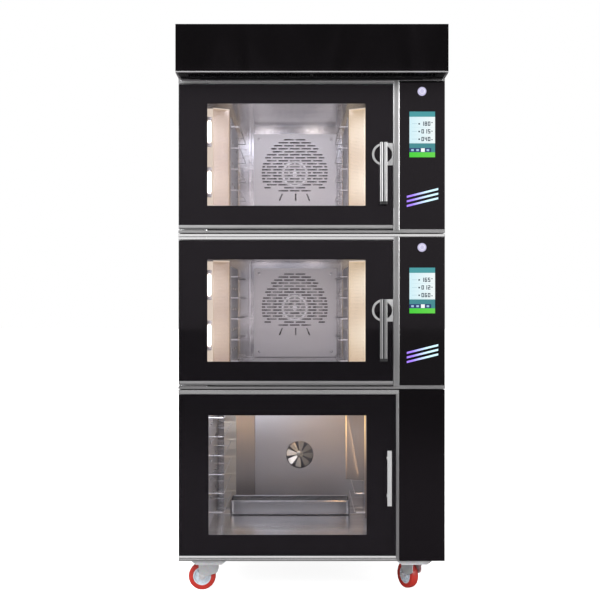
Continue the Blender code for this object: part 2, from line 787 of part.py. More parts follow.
def prover():
    prover_casing()
    prover_chamber()
    prover_fan()
    prover_rack()
    prover_water_tray()
    lamp_cover("prover_lamp", 0.262, 0.680, "right", [(0.520, 0.080)])
    prover_side_panel()
    hinge_body("prover_door_hinge", CASTOR_HEIGHT + PROVER_FLOOR, PROVER_DOOR_HIGH, PROVER_RAIL)
    prover_door()


# Castors


def castor_fork(name, heading, spot):
    """Swivel fork: two cheeks under a crown, the swivel head, the kingpin and the axle."""
    turn = Matrix.Translation(spot) @ Matrix.Rotation(math.radians(heading), 4, "Z")

    def set_down(bm):
        bmesh.ops.transform(bm, matrix=turn, verts=bm.verts)
        return bm

    cheek_out, cheek_in, crown, arch = 0.0210, 0.0180, 0.1080, 0.1035
    arch_outline = [
        (-cheek_out, 0.038), (-cheek_in, 0.038), (-cheek_in, arch), (cheek_in, arch),
        (cheek_in, 0.038), (cheek_out, 0.038), (cheek_out, crown), (-cheek_out, crown),
    ]
    across = prism(arch_outline, "Y", -0.060, 0.060)
    bmesh.ops.transform(across, matrix=Matrix.Rotation(math.pi / 2, 4, "Z"), verts=across.verts)
    fork = place(name, set_down(across), "zinc")
    side = [
        (-0.030, 0.112), (-0.030, 0.096), (TRAIL - 0.012, 0.040), (TRAIL + 0.012, 0.040),
        (0.042, 0.096), (0.042, 0.112),
    ]
    combine(fork, set_down(prism(side, "Y", -0.040, 0.040)), "INTERSECT")
    join(fork, set_down(rod((0, 0, 0.1135), 0.027, 0.013, axis="Z", segments=16)))
    join(fork, set_down(rod((0, 0, 0.1240), 0.006, 0.018, axis="Z", segments=12)))
    join(fork, set_down(rod((TRAIL, 0, WHEEL_RADIUS), 0.005, 0.047, segments=12)))
    return fork


def castor_wheel(name, heading, spot):
    """Wheel with its tread, web and hub, spun around the axle."""
    way = math.radians(heading)
    centre = Vector((spot[0] + TRAIL * math.cos(way), spot[1] + TRAIL * math.sin(way), WHEEL_RADIUS))
    profile = [
        (0.0056, -0.0145), (0.0140, -0.0145), (0.0140, -0.0080), (0.0390, -0.0080), (0.0410, -0.0160),
        (WHEEL_RADIUS, -0.0110), (WHEEL_RADIUS, 0.0110), (0.0410, 0.0160), (0.0390, 0.0080),
        (0.0140, 0.0080), (0.0140, 0.0145), (0.0056, 0.0145),
    ]
    wheel = place(name, turned((0, 0, 0), profile, segments=16), "red_tyre")
    wheel.location = centre
    wheel.rotation_euler = (0.0, 0.0, way)
    round_off(wheel)
    return wheel


def castors():
    for corner, heading in CASTOR_HEADINGS.items():
        x = -CASTOR_X if corner.endswith("left") else CASTOR_X
        y = CASTOR_FRONT if corner.startswith("front") else CASTOR_REAR
        castor_fork(f"castor_fork_{corner}", heading, (x, y, 0.0))
        castor_wheel(f"castor_wheel_{corner}", heading, (x, y, 0.0))


# Extraction hood


def hood_shell():
    """Hollow canopy: the intake opens downwards in front of the doors, the exhaust opens upwards."""
    shell = place(
        "hood_shell",
        blocks(((-HALF, FASCIA_BACK, HOOD_BASE), (HALF, BACK, HOOD_TOP))),
        "brushed_steel",
    )
    join_box(shell, (-HALF, -BACK, HOOD_BASE), (HALF, FASCIA_BACK + 0.002, HOOD_BASE + 0.004))
    join_box(shell, (-0.470, FRONT - 0.004, HOOD_BASE - 0.009), (0.470, FRONT - GAP, HOOD_BASE + 0.002))
    cut_box(
        shell,
        (-HALF + 0.002, FASCIA_BACK + 0.002, HOOD_BASE + 0.002),
        (HALF - 0.002, BACK - 0.002, HOOD_TOP - 0.002),
    )
    cut_box(shell, (*INTAKE_LOW, HOOD_BASE - 0.02), (*INTAKE_HIGH, HOOD_BASE + 0.02))
    cut(shell, rod((*EXHAUST, HOOD_TOP), EXHAUST_RADIUS - 0.001, 0.040, axis="Z", segments=32))
    join(shell, rod((*EXHAUST, HOOD_BASE + 0.0125), 0.040, 0.023, axis="Z"))      # fan motor
    cut(shell, rod((*EXHAUST, HOOD_BASE + 0.018), 0.0072, 0.022, axis="Z", segments=16))
    return shell


def hood_fascia():
    return place(
        "hood_fascia",
        blocks(((-HALF, -BACK, HOOD_BASE + 0.0045), (HALF, FASCIA_BACK - GAP, HOOD_TOP))),
        "black_panel",
    )


def hood_filter():
    """Grease and steam filter in the intake: a deep frame with a row of air slots."""
    low_x, low_y = INTAKE_LOW[0] + GAP, INTAKE_LOW[1] + GAP
    high_x, high_y = INTAKE_HIGH[0] - GAP, INTAKE_HIGH[1] - GAP
    filter_panel = place(
        "hood_filter",
        blocks(((low_x, low_y, HOOD_BASE + 0.0005), (high_x, high_y, HOOD_BASE + 0.012))),
        "brushed_steel",
    )
    pitch = (high_x - low_x - 0.020) / FILTER_SLOTS
    slots = []
    for slot in range(FILTER_SLOTS):
        left = low_x + 0.010 + (slot + 0.2) * pitch
        slots.append((
            (left, low_y + 0.010, HOOD_BASE - 0.01),
            (left + 0.6 * pitch, high_y - 0.010, HOOD_BASE + 0.02),
        ))
    cut(filter_panel, blocks(*slots))
    return filter_panel


def hood_fan():
    """Extraction wheel that turns on the upright motor shaft under the exhaust."""
    x, y = EXHAUST
    bottom = HOOD_BASE + 0.026
    centre = (x, y, bottom)
    profile = [
        (0.0, -0.015), (0.0062, -0.015), (0.0062, 0.0), (0.085, 0.0), (0.085, 0.002),
        (0.020, 0.002), (0.020, 0.040), (0.0, 0.040),
    ]
    fan = place("hood_fan_wheel", turned(centre, profile, axis="Z"), "bright_steel", origin=centre)
    blades = fan_blades(0.0, 0.0, 8, 0.018, 0.083, 0.001, 0.045)
    stand = Matrix.Translation(centre) @ Matrix.Rotation(math.pi / 2, 4, "X")
    bmesh.ops.transform(blades, matrix=stand, verts=blades.verts)
    join(fan, blades)
    round_off(fan)
    return fan


def exhaust_spigot():
    """Round duct collar on the hood, with its mounting flange."""
    profile = [
        (EXHAUST_RADIUS - 0.003, 0.0), (EXHAUST_RADIUS + 0.020, 0.0), (EXHAUST_RADIUS + 0.020, 0.003),
        (EXHAUST_RADIUS, 0.003), (EXHAUST_RADIUS, 0.060), (EXHAUST_RADIUS - 0.003, 0.060),
    ]
    centre = (*EXHAUST, HOOD_TOP + GAP)
    spigot = place("exhaust_spigot", turned(centre, profile, axis="Z", segments=28), "brushed_steel")
    round_off(spigot)
    return spigot


def hood():
    hood_shell()
    hood_fascia()
    hood_filter()
    hood_fan()
    exhaust_spigot()


def build():
    clear_scene()
    for tier, base in OVEN_BASES.items():
        oven(tier, base)
    prover()
    castors()
    hood()


build()
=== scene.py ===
import json
import math

import bmesh
import bpy
from mathutils import Matrix, Vector


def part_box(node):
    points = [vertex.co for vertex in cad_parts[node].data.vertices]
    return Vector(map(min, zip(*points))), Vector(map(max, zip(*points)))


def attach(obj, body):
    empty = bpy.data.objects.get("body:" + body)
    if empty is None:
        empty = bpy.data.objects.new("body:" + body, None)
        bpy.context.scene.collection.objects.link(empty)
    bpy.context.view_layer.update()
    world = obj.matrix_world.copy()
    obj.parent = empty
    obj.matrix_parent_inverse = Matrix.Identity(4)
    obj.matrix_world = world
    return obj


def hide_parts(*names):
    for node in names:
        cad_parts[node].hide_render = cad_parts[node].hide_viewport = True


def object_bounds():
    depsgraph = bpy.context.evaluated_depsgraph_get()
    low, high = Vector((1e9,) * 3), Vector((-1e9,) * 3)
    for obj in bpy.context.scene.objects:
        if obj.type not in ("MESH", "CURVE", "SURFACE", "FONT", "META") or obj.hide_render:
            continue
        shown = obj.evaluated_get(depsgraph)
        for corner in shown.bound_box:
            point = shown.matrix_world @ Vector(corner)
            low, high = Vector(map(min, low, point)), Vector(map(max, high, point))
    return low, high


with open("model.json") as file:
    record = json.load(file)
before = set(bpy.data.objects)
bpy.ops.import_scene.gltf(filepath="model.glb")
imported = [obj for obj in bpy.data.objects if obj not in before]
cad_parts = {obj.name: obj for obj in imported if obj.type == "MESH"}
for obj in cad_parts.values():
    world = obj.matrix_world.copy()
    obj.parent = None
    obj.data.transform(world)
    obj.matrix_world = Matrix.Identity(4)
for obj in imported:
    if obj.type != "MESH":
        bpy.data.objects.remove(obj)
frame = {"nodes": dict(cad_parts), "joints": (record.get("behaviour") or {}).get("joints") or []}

# The looks of a bakery stack: hood, two convection ovens and a proving cabinet.
# Metres, in the frame's coordinates: -Y is the front, +Z is up.

CAD_LOW, CAD_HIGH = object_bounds()
NODES = frame["nodes"]
JOINTS = {joint["name"]: joint for joint in frame["joints"]}
TIERS = ("upper", "lower")
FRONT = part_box("upper_door_outer_glass")[0].y
BACK = CAD_HIGH.y
HALF = CAD_HIGH.x
HOOD_LIP = 0.009          # how far the hood's front lip hangs below its floor


# Materials


class Shader:
    """One procedural material. Its methods add nodes and return the socket that carries the result."""

    def __init__(self, name):
        self.material = bpy.data.materials.new(name)
        self.material.use_nodes = True
        self.tree = self.material.node_tree
        self.tree.nodes.clear()
        coordinates = self.tree.nodes.new("ShaderNodeTexCoord")
        self.place = coordinates.outputs["Object"]
        self.normal = coordinates.outputs["Normal"]

    def node(self, kind, settings=None, **inputs):
        made = self.tree.nodes.new(f"ShaderNode{kind}")
        for name, value in (settings or {}).items():
            setattr(made, name, value)
        for name, value in inputs.items():
            self.plug(made.inputs[name.replace("_", " ")], value)
        return made

    def plug(self, socket, value):
        if isinstance(value, bpy.types.NodeSocket):
            self.tree.links.new(value, socket)
        else:
            socket.default_value = value

    def scaled(self, x, y, z, source=None):
        made = self.node("VectorMath", {"operation": "MULTIPLY"})
        self.plug(made.inputs[0], source or self.place)
        made.inputs[1].default_value = (x, y, z)
        return made.outputs[0]

    def noise(self, vector, scale=1.0, detail=3.0, distortion=0.0):
        made = self.node("TexNoise", Vector=vector, Scale=scale, Detail=detail, Distortion=distortion)
        return made.outputs["Fac"]

    def math(self, operation, first, second=0.0):
        made = self.node("Math", {"operation": operation})
        self.plug(made.inputs[0], first)
        self.plug(made.inputs[1], second)
        return made.outputs[0]

    def span(self, value, low, high, start=0.0, end=1.0):
        made = self.node("MapRange", Value=value)
        made.inputs["From Min"].default_value = start
        made.inputs["From Max"].default_value = end
        made.inputs["To Min"].default_value = low
        made.inputs["To Max"].default_value = high
        return made.outputs[0]

    def axis(self, name, source=None):
        made = self.node("SeparateXYZ")
        self.plug(made.inputs[0], source or self.place)
        return made.outputs[name]

    def blend(self, share, first, second):
        made = self.node("Mix", {"data_type": "RGBA"})
        self.plug(made.inputs[0], share)
        for index, value in ((6, first), (7, second)):
            self.plug(made.inputs[index], value)
        return made.outputs[2]

    def bump(self, height, strength, depth, under=None):
        made = self.node("Bump", Height=height, Strength=strength, Distance=depth)
        if under:
            self.plug(made.inputs["Normal"], under)
        return made.outputs[0]

    def over(self, share, first, second):
        """Two surfaces mixed by a share from 0 to 1."""
        made = self.node("MixShader")
        self.plug(made.inputs[0], share)
        self.plug(made.inputs[1], first)
        self.plug(made.inputs[2], second)
        return made.outputs[0]

    def principled(self, colour, roughness, metallic=0.0, normal=None, **more):
        made = self.node("BsdfPrincipled", Base_Color=colour, Roughness=roughness, Metallic=metallic)
        if normal:
            self.plug(made.inputs["Normal"], normal)
        for name, value in more.items():
            self.plug(made.inputs[name.replace("_", " ")], value)
        return made.outputs[0]

    def finish(self, surface):
        output = self.node("OutputMaterial")
        self.plug(output.inputs["Surface"], surface)
        return self.material


def rgb(*parts):
    return (*parts, 1.0)


def steel(name, tone, roughness, upright=False, lines=0.5, waves=0.0, warm=0.0, reflection_streaks=0.0, side_wall_shade=1.0):
    """Stainless sheet: long brushing lines, broad bands, wiped smudges, and slow waves in the sheet; optional
    painted reflection streaks, and painted shade that darkens faces looking along X.
    """
    s = Shader(name)
    along, across = 2.5, 520.0
    if upright:
        sides = s.scaled(across, across, along)
    else:
        sides = s.scaled(along, along, across)
    flat = s.scaled(along, across, along)
    facing_up = s.math("GREATER_THAN", s.math("ABSOLUTE", s.axis("Z", s.normal)), 0.7)
    pick = s.node("Mix", {"data_type": "VECTOR"})
    s.plug(pick.inputs[0], facing_up)
    s.plug(pick.inputs[4], sides)
    s.plug(pick.inputs[5], flat)
    grain = s.noise(pick.outputs[1], detail=4.0)
    bands = s.noise(s.scaled(0.35, 0.35, 0.05, pick.outputs[1]), detail=2.0)
    smudge = s.noise(s.place, 7.0, 6.0, 0.6)
    shade = s.math("ADD", s.span(grain, -0.10 * lines, 0.10 * lines), s.span(bands, -0.06, 0.06))
    shade = s.math("ADD", shade, s.span(smudge, -0.04, 0.03))
    # Painted reflection: broad lighter and darker streaks along X stand in for the streaked reflections in a
    # polished ceiling.
    if reflection_streaks:
        painted_streaks = s.noise(s.scaled(0.9, 17.0, 13.0), 1.0, 3.0, 0.4)
        shade = s.math("ADD", shade, s.span(painted_streaks, -reflection_streaks, reflection_streaks, 0.3, 0.7))
    dark = rgb(*(tone * 0.80 * k for k in (1.0 + warm, 1.0, 1.01 - warm)))
    light = rgb(*(min(1.0, tone * 1.16) * k for k in (1.0, 1.0, 1.01 - warm)))
    colour = s.blend(s.math("ADD", shade, 0.5), dark, light)
    # Painted shade: faces that look along X are darkened by this factor, so side walls read darker.
    if side_wall_shade < 1.0:
        aside = s.math("GREATER_THAN", s.math("ABSOLUTE", s.axis("X", s.normal)), 0.7)
        side_shaded = s.node("VectorMath", {"operation": "SCALE"}, Scale=s.span(aside, 1.0, side_wall_shade))
        s.plug(side_shaded.inputs[0], colour)
        colour = side_shaded.outputs[0]
    rough = s.math("ADD", s.span(grain, roughness - 0.05, roughness + 0.07), s.span(smudge, -0.04, 0.06))
    fine = s.bump(grain, 0.10 * lines, 0.0004)
    if waves:
        swell = s.noise(s.scaled(1.2, 3.0, 5.0), detail=2.0)
        fine = s.bump(swell, waves, 0.02, fine)
    return s.finish(s.principled(colour, rough, 1.0, fine, Anisotropic=0.35))


def polished(name, tone, roughness, scratch=0.3):
    """Bright turned or polished metal with fine scratches and handling marks."""
    s = Shader(name)
    marks = s.noise(s.scaled(90, 90, 90), 1.0, 8.0, 2.0)
    film = s.noise(s.place, 14.0, 5.0)
    colour = s.blend(film, rgb(tone * 0.86, tone * 0.87, tone * 0.88), rgb(tone, tone, tone * 1.01))
    rough = s.math("ADD", s.span(marks, roughness * 0.6, roughness * 1.5), s.span(film, -0.02, 0.04))
    return s.finish(s.principled(colour, rough, 1.0, s.bump(marks, scratch * 0.15, 0.0003)))


def satin(name, dark, light):
    """Satin metal with faint lengthwise lines."""
    s = Shader(name)
    grain = s.noise(s.scaled(700, 700, 3), detail=3.0)
    colour = s.blend(grain, rgb(dark, dark, dark * 1.01), rgb(light, light, light * 1.01))
    return s.finish(s.principled(colour, s.span(grain, 0.32, 0.46), 0.45, s.bump(grain, 0.05, 0.0003)))


def zinc(name):
    """Zinc-plated pressing: cloudy crystals, a cool cast and a little white bloom."""
    s = Shader(name)
    cells = s.node("TexVoronoi", Vector=s.place, Scale=260.0).outputs["Color"]
    bloom = s.noise(s.place, 45.0, 6.0)
    plain = s.blend(bloom, rgb(0.74, 0.75, 0.78), rgb(0.93, 0.94, 0.95))
    colour = s.blend(0.08, plain, cells)
    rough = s.span(bloom, 0.26, 0.50)
    return s.finish(s.principled(colour, rough, 0.62, s.bump(bloom, 0.12, 0.0006)))


def gloss_black(name, tone=0.0045, roughness=0.035, waves=0.025):
    """Black glass or gloss enamel: faint wipe marks, and slow waves that bend its reflections."""
    s = Shader(name)
    wipe = s.noise(s.scaled(6, 6, 2.2), 1.0, 7.0, 1.4)
    dust = s.noise(s.place, 900.0, 2.0)
    colour = s.blend(s.span(dust, 0.0, 0.12, 0.66, 0.8), rgb(tone, tone * 0.93, tone),
                     rgb(0.02, 0.02, 0.022))
    rough = s.span(wipe, roughness * 0.6, roughness * 2.2, 0.3, 0.75)
    swell = s.noise(s.scaled(1.4, 1.4, 1.8), detail=1.0)
    return s.finish(s.principled(colour, rough, 0.0, s.bump(swell, waves, 0.02), IOR=1.5,
                                 Specular_Tint=rgb(1.0, 0.86, 1.0)))


def thin_glass(name, clear=(0.955, 0.950, 0.972), shine=1.0):
    """Pane seen through its faces; its cut edges are solid green-black glass."""
    s = Shader(name)
    facing = s.node("LayerWeight", Blend=0.5).outputs["Facing"]
    slant = s.math("POWER", facing, 5.0)
    front_only = s.math("SUBTRACT", 1.0, s.node("NewGeometry").outputs["Backfacing"])
    mirror = s.math("MULTIPLY", s.span(slant, 0.043, 1.0), s.math("MULTIPLY", front_only, shine))
    film = s.noise(s.scaled(5, 5, 2), 1.0, 6.0, 1.2)
    gloss = s.node("BsdfGlossy", Color=rgb(1.0, 0.88, 1.0), Roughness=s.span(film, 0.012, 0.05)).outputs[0]
    through = s.node("BsdfTransparent", Color=rgb(*clear)).outputs[0]
    pane = s.over(mirror, through, gloss)
    edge = s.principled(rgb(0.010, 0.035, 0.028), 0.10, Coat_Weight=0.6)
    on_face = s.math("GREATER_THAN", s.math("ABSOLUTE", s.axis("Y", s.normal)), 0.6)
    return s.finish(s.over(on_face, edge, pane))


def plastic(name, colour, roughness=0.4, grain=220.0, bump=0.08, lighter=1.25, **more):
    """Moulded plastic, rubber or enamel with a fine texture and slight fading."""
    s = Shader(name)
    fine = s.noise(s.place, grain, 4.0)
    fade = s.noise(s.place, 16.0, 4.0)
    shade = s.blend(fade, rgb(*colour), rgb(*(min(1.0, c * lighter) for c in colour)))
    rough = s.math("ADD", s.span(fine, roughness - 0.06, roughness + 0.08), s.span(fade, -0.04, 0.04))
    return s.finish(s.principled(shade, rough, 0.0, s.bump(fine, bump, 0.0005), **more))


def lit(name, colour, strength, ripple=0.0, second=None, axis="X", low=0.0, high=1.0):
    """A surface that glows, evenly or from one colour to a second one along an axis."""
    s = Shader(name)
    tint = rgb(*colour)
    if second:
        tint = s.blend(s.span(s.axis(axis), 0.0, 1.0, low, high), rgb(*colour), rgb(*second))
    power = s.span(s.noise(s.place, 60.0, 2.0), strength * (1 - ripple), strength * (1 + ripple))
    base = s.node("BsdfPrincipled", Base_Color=rgb(0.01, 0.01, 0.01), Roughness=0.12)
    s.plug(base.inputs["Emission Color"], tint)
    s.plug(base.inputs["Emission Strength"], power)
    return s.finish(base.outputs[0])


def reflector(name, edge, heart, strength, lamps, spread, side):
    """Perforated lamp cover: brightest beside its lamps and towards the chamber wall."""
    s = Shader(name)
    height = s.axis("Z")
    glow = 0.0
    for lamp in lamps:
        away = s.math("DIVIDE", s.math("SUBTRACT", height, lamp), spread)
        near = s.math("POWER", math.e, s.math("MULTIPLY", s.math("MULTIPLY", away, away), -1.0))
        glow = s.math("ADD", glow, near) if glow else near
    wall, tip = side
    inward = s.span(s.axis("X"), 1.0, 0.55, wall, tip)
    share = s.math("MULTIPLY", glow, inward)
    tint = s.blend(share, rgb(*edge), rgb(*heart))
    power = s.math("MULTIPLY", s.span(share, 0.80, 1.25), strength)
    patches = s.noise(s.scaled(22, 22, 9), detail=2.0)
    power = s.math("MULTIPLY", power, s.span(patches, 0.90, 1.10))
    base = s.node("BsdfPrincipled", Base_Color=rgb(0.30, 0.28, 0.26), Roughness=0.35, Metallic=0.9)
    s.plug(base.inputs["Emission Color"], tint)
    s.plug(base.inputs["Emission Strength"], power)
    return s.finish(base.outputs[0])


BRUSHED = steel("brushed_steel", 0.60, 0.30)
BRUSHED_UPRIGHT = steel("brushed_steel_upright", 0.62, 0.28, upright=True)
SIDE_SHEET = steel("side_sheet", 0.66, 0.34, lines=0.9, waves=0.01)
# The liner carries painted reflection streaks and painted shade on its side walls.
LINER = steel("liner_steel", 0.66, 0.17, lines=0.10, waves=0.22, reflection_streaks=0.55, side_wall_shade=0.42)
BAFFLE = steel("baffle_steel", 0.70, 0.42, lines=0.12, waves=0.02)
RACK_STEEL = steel("rack_steel", 0.58, 0.46, lines=0.10, waves=0.02)
LEVER_STEEL = steel("lever_steel", 0.46, 0.30, upright=True, lines=0.3)
# Painted shade: very dark steel for the fan's shroud and the backing sheet behind the baffle, standing in for
# the shade there.
BAFFLE_SHADE_STEEL = steel("baffle_shade_steel", 0.10, 0.42, lines=0.2, warm=0.03)
RAIL_STEEL = steel("rail_steel", 0.74, 0.20, lines=0.25)
BRIGHT = polished("bright_steel", 0.80, 0.16)
WHEEL_STEEL = polished("fan_wheel_steel", 0.30, 0.40)
TURNED = polished("turned_steel", 0.70, 0.24)
ZINC = zinc("zinc_plate")
SATIN = satin("satin_aluminium", 0.44, 0.56)
# Painted highlight: a much lighter satin for the rack noses and the fan's nut and front ring, standing in for
# the light they catch.
HIGHLIGHT_SATIN = satin("painted_highlight_satin", 0.85, 0.98)
BLACK = gloss_black("gloss_black", 0.0035)
ENAMEL = gloss_black("gloss_enamel", 0.0012, 0.05)
PRINT = plastic("black_print", (0.0035, 0.0032, 0.0036), 0.7, bump=0.02, Specular_IOR_Level=0.0)
PANE = thin_glass("clear_pane")
RUBBER = plastic("silicone_seal", (0.018, 0.018, 0.019), 0.62, 300.0, 0.25)
DARK = plastic("dark_plastic", (0.012, 0.012, 0.013), 0.42)
CERAMIC = plastic("lamp_ceramic", (0.78, 0.74, 0.68), 0.55)
NYLON = plastic("wheel_nylon", (0.60, 0.66, 0.72), 0.34, 160.0, 0.10, 1.12)
TREAD = plastic("wheel_tread", (0.40, 0.020, 0.012), 0.34, 500.0, 0.15, 1.30, Coat_Weight=0.2)
# Painted shade: black for the steam filter, the lining of the hood's underside and the strip over the upper
# oven, where the hood's overhang shades them.
HOOD_SHADE_BLACK = plastic("hood_underside_shade_black", (0.005, 0.005, 0.0055), 0.30, Specular_IOR_Level=0.12)
BAND = plastic("cable_sheath", (0.03, 0.03, 0.032), 0.5)
ELEMENT = polished("element_sheath", 0.22, 0.40)


# Geometry


def add(name, bm, material, body, bevel=0.0, smooth=35, thickness=0.0, segments=2):
    """Makes a piece of a bmesh drawn in the frame's coordinates, and lets it ride on a body."""
    bmesh.ops.recalc_face_normals(bm, faces=bm.faces)
    mesh = bpy.data.meshes.new(name)
    bm.to_mesh(mesh)
    bm.free()
    mesh.materials.append(material)
    mesh.shade_smooth()
    mesh.set_sharp_from_angle(angle=math.radians(smooth))
    piece = bpy.data.objects.new(name, mesh)
    bpy.context.scene.collection.objects.link(piece)
    if thickness:
        solid = piece.modifiers.new("Sheet", "SOLIDIFY")
        solid.thickness = thickness
        solid.offset = 0.0
    if bevel:
        edges = piece.modifiers.new("Edges", "BEVEL")
        edges.width = bevel
        edges.segments = segments
        edges.limit_method = "ANGLE"
        edges.angle_limit = math.radians(30)
        edges.harden_normals = True
    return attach(piece, body)


def merge(*parts):
    """One bmesh out of several."""
    whole = bmesh.new()
    for part in parts:
        mesh = bpy.data.meshes.new("part")
        part.to_mesh(mesh)
        part.free()
        whole.from_mesh(mesh)
        bpy.data.meshes.remove(mesh)
    return whole


def shifted(bm, matrix):
    bmesh.ops.transform(bm, matrix=matrix, verts=bm.verts)
    return bm


def blocks(*corners):
    """Boxes, each given by its low and high corner."""
    bm = bmesh.new()
    for low, high in corners:
        size = Vector(high) - Vector(low)
        middle = Matrix.Translation((Vector(high) + Vector(low)) / 2)
        bmesh.ops.create_cube(bm, size=1.0, matrix=middle @ Matrix.Diagonal((*size, 1.0)))
    return bm


TO_AXIS = {
    "-Y": Matrix.Rotation(math.pi / 2, 4, "X"),
    "Y": Matrix.Rotation(-math.pi / 2, 4, "X"),
    "X": Matrix.Rotation(math.pi / 2, 4, "Y"),
    "-X": Matrix.Rotation(-math.pi / 2, 4, "Y"),
    "Z": Matrix.Identity(4),
    "-Z": Matrix.Rotation(math.pi, 4, "X"),
}


def turned(profile, centre=(0, 0, 0), axis="Z", segments=32, closed=False):
    """A shape spun around an axis from (radius, height) points; closed joins the last to the first."""
    bm = bmesh.new()
    corners = [bm.verts.new((radius, 0.0, height)) for radius, height in profile]
    edges = [bm.edges.new(pair) for pair in zip(corners, corners[1:])]
    if closed:
        edges.append(bm.edges.new((corners[-1], corners[0])))
    bmesh.ops.spin(
        bm, geom=corners + edges, cent=(0, 0, 0), axis=(0, 0, 1), angle=2 * math.pi,
        steps=segments, use_merge=True,
    )
    bmesh.ops.remove_doubles(bm, verts=bm.verts, dist=1e-6)
    bmesh.ops.dissolve_degenerate(bm, edges=bm.edges, dist=1e-7)
    loose = [edge for edge in bm.edges if not edge.link_faces]
    bmesh.ops.delete(bm, geom=loose, context="EDGES")
    return shifted(bm, Matrix.Translation(centre) @ TO_AXIS[axis])


def drawn(curve, matrix=None):
    """The closed mesh of a curve."""
    holder = bpy.data.objects.new("draft", curve)
    mesh = bpy.data.meshes.new_from_object(holder)
    bm = bmesh.new()
    bm.from_mesh(mesh)
    bmesh.ops.remove_doubles(bm, verts=bm.verts, dist=1e-6)
    bpy.data.objects.remove(holder)
    bpy.data.curves.remove(curve)
    bpy.data.meshes.remove(mesh)
    return shifted(bm, matrix) if matrix else bm


def new_curve(dimensions, loops, cyclic):
    curve = bpy.data.curves.new("draft", "CURVE")
    curve.dimensions = dimensions
    for loop in loops:
        spline = curve.splines.new("POLY")
        spline.points.add(len(loop) - 1)
        for point, place in zip(spline.points, loop):
            x, y, z = (*place, 0.0)[:3]
            point.co = (x, y, z, 1.0)
        spline.use_cyclic_u = cyclic
    return curve


def wire(points, radius, closed=False, sides=3):
    """Round rod or pipe along a line of points."""
    curve = new_curve("3D", [points], closed)
    curve.bevel_depth = radius
    curve.bevel_resolution = sides
    curve.use_fill_caps = True
    return drawn(curve)


# Places where a flat drawing stands: (across, up) of the drawing, and the way it is thickened
FACES = {
    "front": Matrix(((1, 0, 0, 0), (0, 0, 1, 0), (0, 1, 0, 0), (0, 0, 0, 1))),
    "side": Matrix(((0, 0, 1, 0), (1, 0, 0, 0), (0, 1, 0, 0), (0, 0, 0, 1))),
    "flat": Matrix.Identity(4),
}


def ring(centre, radius, y, steps):
    """Points of an upright circle around centre, in the plane at y."""
    angles = [2 * math.pi * step / steps for step in range(steps)]
    return [(centre.x + radius * math.cos(a), y, centre.z + radius * math.sin(a)) for a in angles]


def sheet(outline, holes, at, thickness, face="front"):
    """Flat plate with holes. at is its middle plane, along Y for front, X for side and Z for flat."""
    curve = new_curve("2D", [outline, *holes], True)
    curve.fill_mode = "BOTH"
    curve.extrude = thickness / 2
    depth = Matrix.Translation(FACES[face].to_3x3() @ Vector((0, 0, at)))
    return drawn(curve, depth @ FACES[face])


def rectangle(left, low, right, high):
    return [(left, low), (right, low), (right, high), (left, high)]


def arc(centre, radius, start, end, steps):
    """Points on an arc, in degrees."""
    points = []
    for step in range(steps + 1):
        angle = math.radians(start + (end - start) * step / steps)
        points.append((centre[0] + radius * math.cos(angle), centre[1] + radius * math.sin(angle)))
    return points


def circle(centre, radius, steps=32):
    return arc(centre, radius, 0, 360, steps)[:-1]


def rounded(left, low, right, high, radius, steps=4):
    """Rectangle with round corners."""
    corners = [(right, high, 0), (left, high, 90), (left, low, 180), (right, low, 270)]
    points = []
    for x, z, start in corners:
        inside = (x + (radius if x == left else -radius), z + (radius if z == low else -radius))
        points += arc(inside, radius, start, start + 90, steps)
    return points


def prism(outline, low, high, along="Z"):
    """A flat outline drawn out along an axis; its points are the other two coordinates in order."""
    face = {"Z": "flat", "Y": "front", "X": "side"}[along]
    return sheet(outline, [], (low + high) / 2, high - low, face)


def screws(places, axis, radius=0.0045):
    """Domed socket screws: a washer, a head with a soft rim and a six-sided socket."""
    heads = []
    for place in places:
        head = turned(
            [(radius * 1.5, 0.0), (radius * 1.5, 0.0006), (radius, 0.0008), (radius * 0.96, 0.0018),
             (radius * 0.72, 0.0026), (radius * 0.45, 0.0029)],
            segments=18,
        )
        socket = turned(
            [(radius * 0.45, 0.0029), (radius * 0.42, 0.0014), (0.0, 0.0012)], segments=6,
        )
        heads.append(shifted(merge(head, socket), Matrix.Translation(place) @ TO_AXIS[axis]))
    return merge(*heads)


def paint(node, material, bevel=0.0):
    """Gives a CAD node its material, and its edges a small round."""
    piece = NODES[node]
    piece.data.materials.clear()
    piece.data.materials.append(material)
    if bevel:
        weld = piece.modifiers.new("Weld", "WELD")
        weld.merge_threshold = 1e-5
        edges = piece.modifiers.new("Edges", "BEVEL")
        edges.width = bevel
        edges.segments = 2
        edges.limit_method = "ANGLE"
        edges.angle_limit = math.radians(30)


# Pieces that both ovens have


def grille_rows(fan, long=0.042, bridge=0.006):
    """Air slots in staggered rows inside an upright oval, left out in the two lower corners."""
    holes = []
    half_height = 0.0028
    across, upward = 0.139, 0.150
    for row in range(18):
        up = 0.1415 - 0.01255 * row
        reach = across * math.sqrt(1 - (up / upward) ** 2)
        shift = 0.0 if row % 2 else 0.5
        for step in range(-5, 6):
            middle = (step + shift) * (long + bridge)
            left = max(-reach, middle - long / 2)
            right = min(reach, middle + long / 2)
            if right - left < 0.012:
                continue
            if up < -0.050 and 0.052 < abs(left + right) / 2 < 0.104:
                continue
            holes.append(rounded(
                fan.x + left, fan.z + up - half_height, fan.x + right, fan.z + up + half_height,
                half_height * 0.98, 2,
            ))
    return holes


